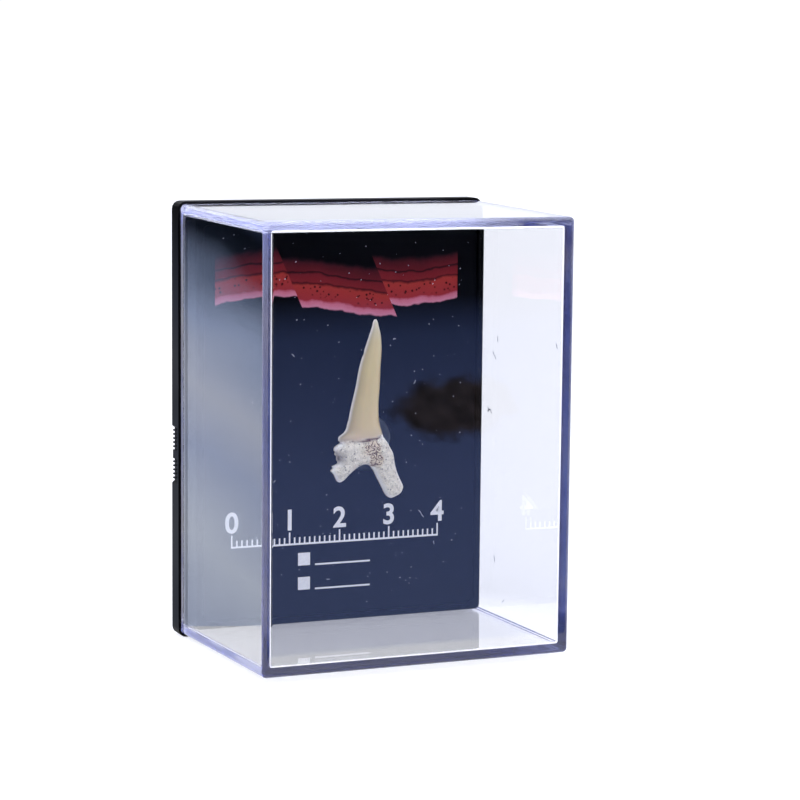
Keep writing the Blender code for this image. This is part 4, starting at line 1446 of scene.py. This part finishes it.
def make_specks(name, centre, size, density, radii, seed):
    """Specks over an upright rectangle of the given size around centre."""
    tree, given, values = new_geometry_tree(name, {
        "Width": ("NodeSocketFloat", size[0]),
        "Height": ("NodeSocketFloat", size[1]),
        "Specks per square metre": ("NodeSocketFloat", density),
        "Smallest": ("NodeSocketFloat", radii[0]),
        "Largest": ("NodeSocketFloat", radii[1]),
        "Seed": ("NodeSocketInt", seed),
    })
    sheet = add_node(tree, "GeometryNodeMeshGrid", {}, {
        "Size X": given["Width"], "Size Y": given["Height"], "Vertices X": 2, "Vertices Y": 2})
    upright = add_node(tree, "GeometryNodeTransform", {}, {
        "Geometry": sheet, "Translation": centre, "Rotation": (math.radians(90), 0.0, 0.0)})
    points = add_node(tree, "GeometryNodeDistributePointsOnFaces", {}, {
        "Mesh": upright, "Density": given["Specks per square metre"], "Seed": given["Seed"]})
    speck = add_node(tree, "GeometryNodeMeshIcoSphere", {}, {"Radius": 1.0, "Subdivisions": 1})
    flat = add_node(tree, "GeometryNodeTransform", {}, {"Geometry": speck, "Scale": (1.5, 0.35, 0.8)})
    radius = add_node(tree, "FunctionNodeRandomValue", {"data_type": "FLOAT"}, {
        2: given["Smallest"], 3: given["Largest"], "Seed": given["Seed"]})
    turn = add_node(tree, "FunctionNodeRandomValue", {"data_type": "FLOAT"}, {
        2: 0.0, 3: math.tau, "Seed": given["Seed"]})
    turned = add_node(tree, "ShaderNodeCombineXYZ", inputs={"Y": turn.outputs[1]})
    specks = add_node(tree, "GeometryNodeInstanceOnPoints", {}, {
        "Points": points, "Instance": flat,
        "Rotation": turned, "Scale": radius.outputs[1]})
    end_tree(tree, specks.outputs[0], dust("pale_dust", "6c7490", "dfe5f6"))
    return place_piece(name, grown_mesh(tree, values), smooth_angle=60.0)


dust_centre = Vector((0.0, card_face, MIDDLE_HEIGHT))
make_specks(
    "dust_on_card", dust_centre, CARD_DUST_SIZE, CARD_DUST, CARD_DUST_RADII, DUST_SEED
)
dust_centre.y = cover_front + COVER_WALL
make_specks(
    "dust_on_pane", dust_centre, PANE_DUST_SIZE, PANE_DUST, PANE_DUST_RADII, DUST_SEED + 1,
)

# %% Lint fibres
FIBRE_SEED = 11
FIBRE_RADIUS = 0.05 * MM
FIBRE_STEPS = 10
CARD_FIBRES = (
    ((-14.5, 29.0), 35, 1.1), ((-10.2, 52.5), 160, 0.9), ((9.5, 55.0), 80, 0.8), ((13.8, 46.5), 50, 1.0),
    ((15.0, 22.4), -20, 2.2), ((-3.6, 10.4), 10, 0.8), ((18.4, 15.6), 120, 0.9), ((-17.0, 44.0), 95, 0.7),
)
WALL_FIBRES = (
    ((10.9, 41.4), 170, 1.5), ((11.2, 41.0), 190, 2.4), ((10.7, 40.8), 150, 1.6), ((9.9, 41.5), 200, 1.3),
    ((7.4, 51.2), 75, 2.4), ((6.6, 54.6), 100, 1.4), ((-19.0, 56.0), 85, 1.3), ((6.6, 12.6), 80, 1.6),
    ((2.8, 5.6), 95, 1.0),
)


def on_card(flat, lift):
    """A place on the card, given across and up, lifted off it."""
    return Vector((flat.x, card_face - lift, flat.y))


def on_right_wall(flat, lift):
    """A place on the inside of the cover's right wall, given in depth and height, lifted off it."""
    return Vector((drafted(COVER_SIZE[0], flat.x) / 2 - COVER_WALL - lift, flat.x, flat.y))


def add_fibre(bm, on_surface, start, heading, length, chance):
    """One thin curled tube that lies on a surface."""
    at, path = Vector(start), []
    for _ in range(FIBRE_STEPS):
        path.append(at.copy())
        heading += chance.uniform(-0.4, 0.4)
        at += length / FIBRE_STEPS * Vector((math.cos(heading), math.sin(heading)))
    rings = []
    for i, point in enumerate(path):
        ahead = path[min(i + 1, len(path) - 1)] - path[max(i - 1, 0)]
        side = Vector((-ahead.y, ahead.x)).normalized()
        radius = FIBRE_RADIUS * (0.4 if i in (0, len(path) - 1) else 1.0)
        angles = [math.tau * spoke / 6 for spoke in range(6)]
        rings.append([
            on_surface(point + radius * math.cos(angle) * side, radius * (1 + math.sin(angle)))
            for angle in angles
        ])
    loft(bm, rings)


def make_lint(name, on_surface, places, material):
    """Fibres: places are (start in mm, heading in degrees, length in mm)."""
    chance = random.Random(FIBRE_SEED)
    bm = bmesh.new()
    for (first, second), heading, length in places:
        add_fibre(bm, on_surface, (first * MM, second * MM), math.radians(heading), length * MM, chance)
    return finish_piece(name, bm, material, smooth_angle=60.0)


make_lint("lint_on_card", on_card, CARD_FIBRES, dust("pale_lint", "8c94b0", "e4e9f8"))
make_lint(
    "lint_on_wall", on_right_wall, WALL_FIBRES, dust("dark_lint", "30364a", "5c6480")
)
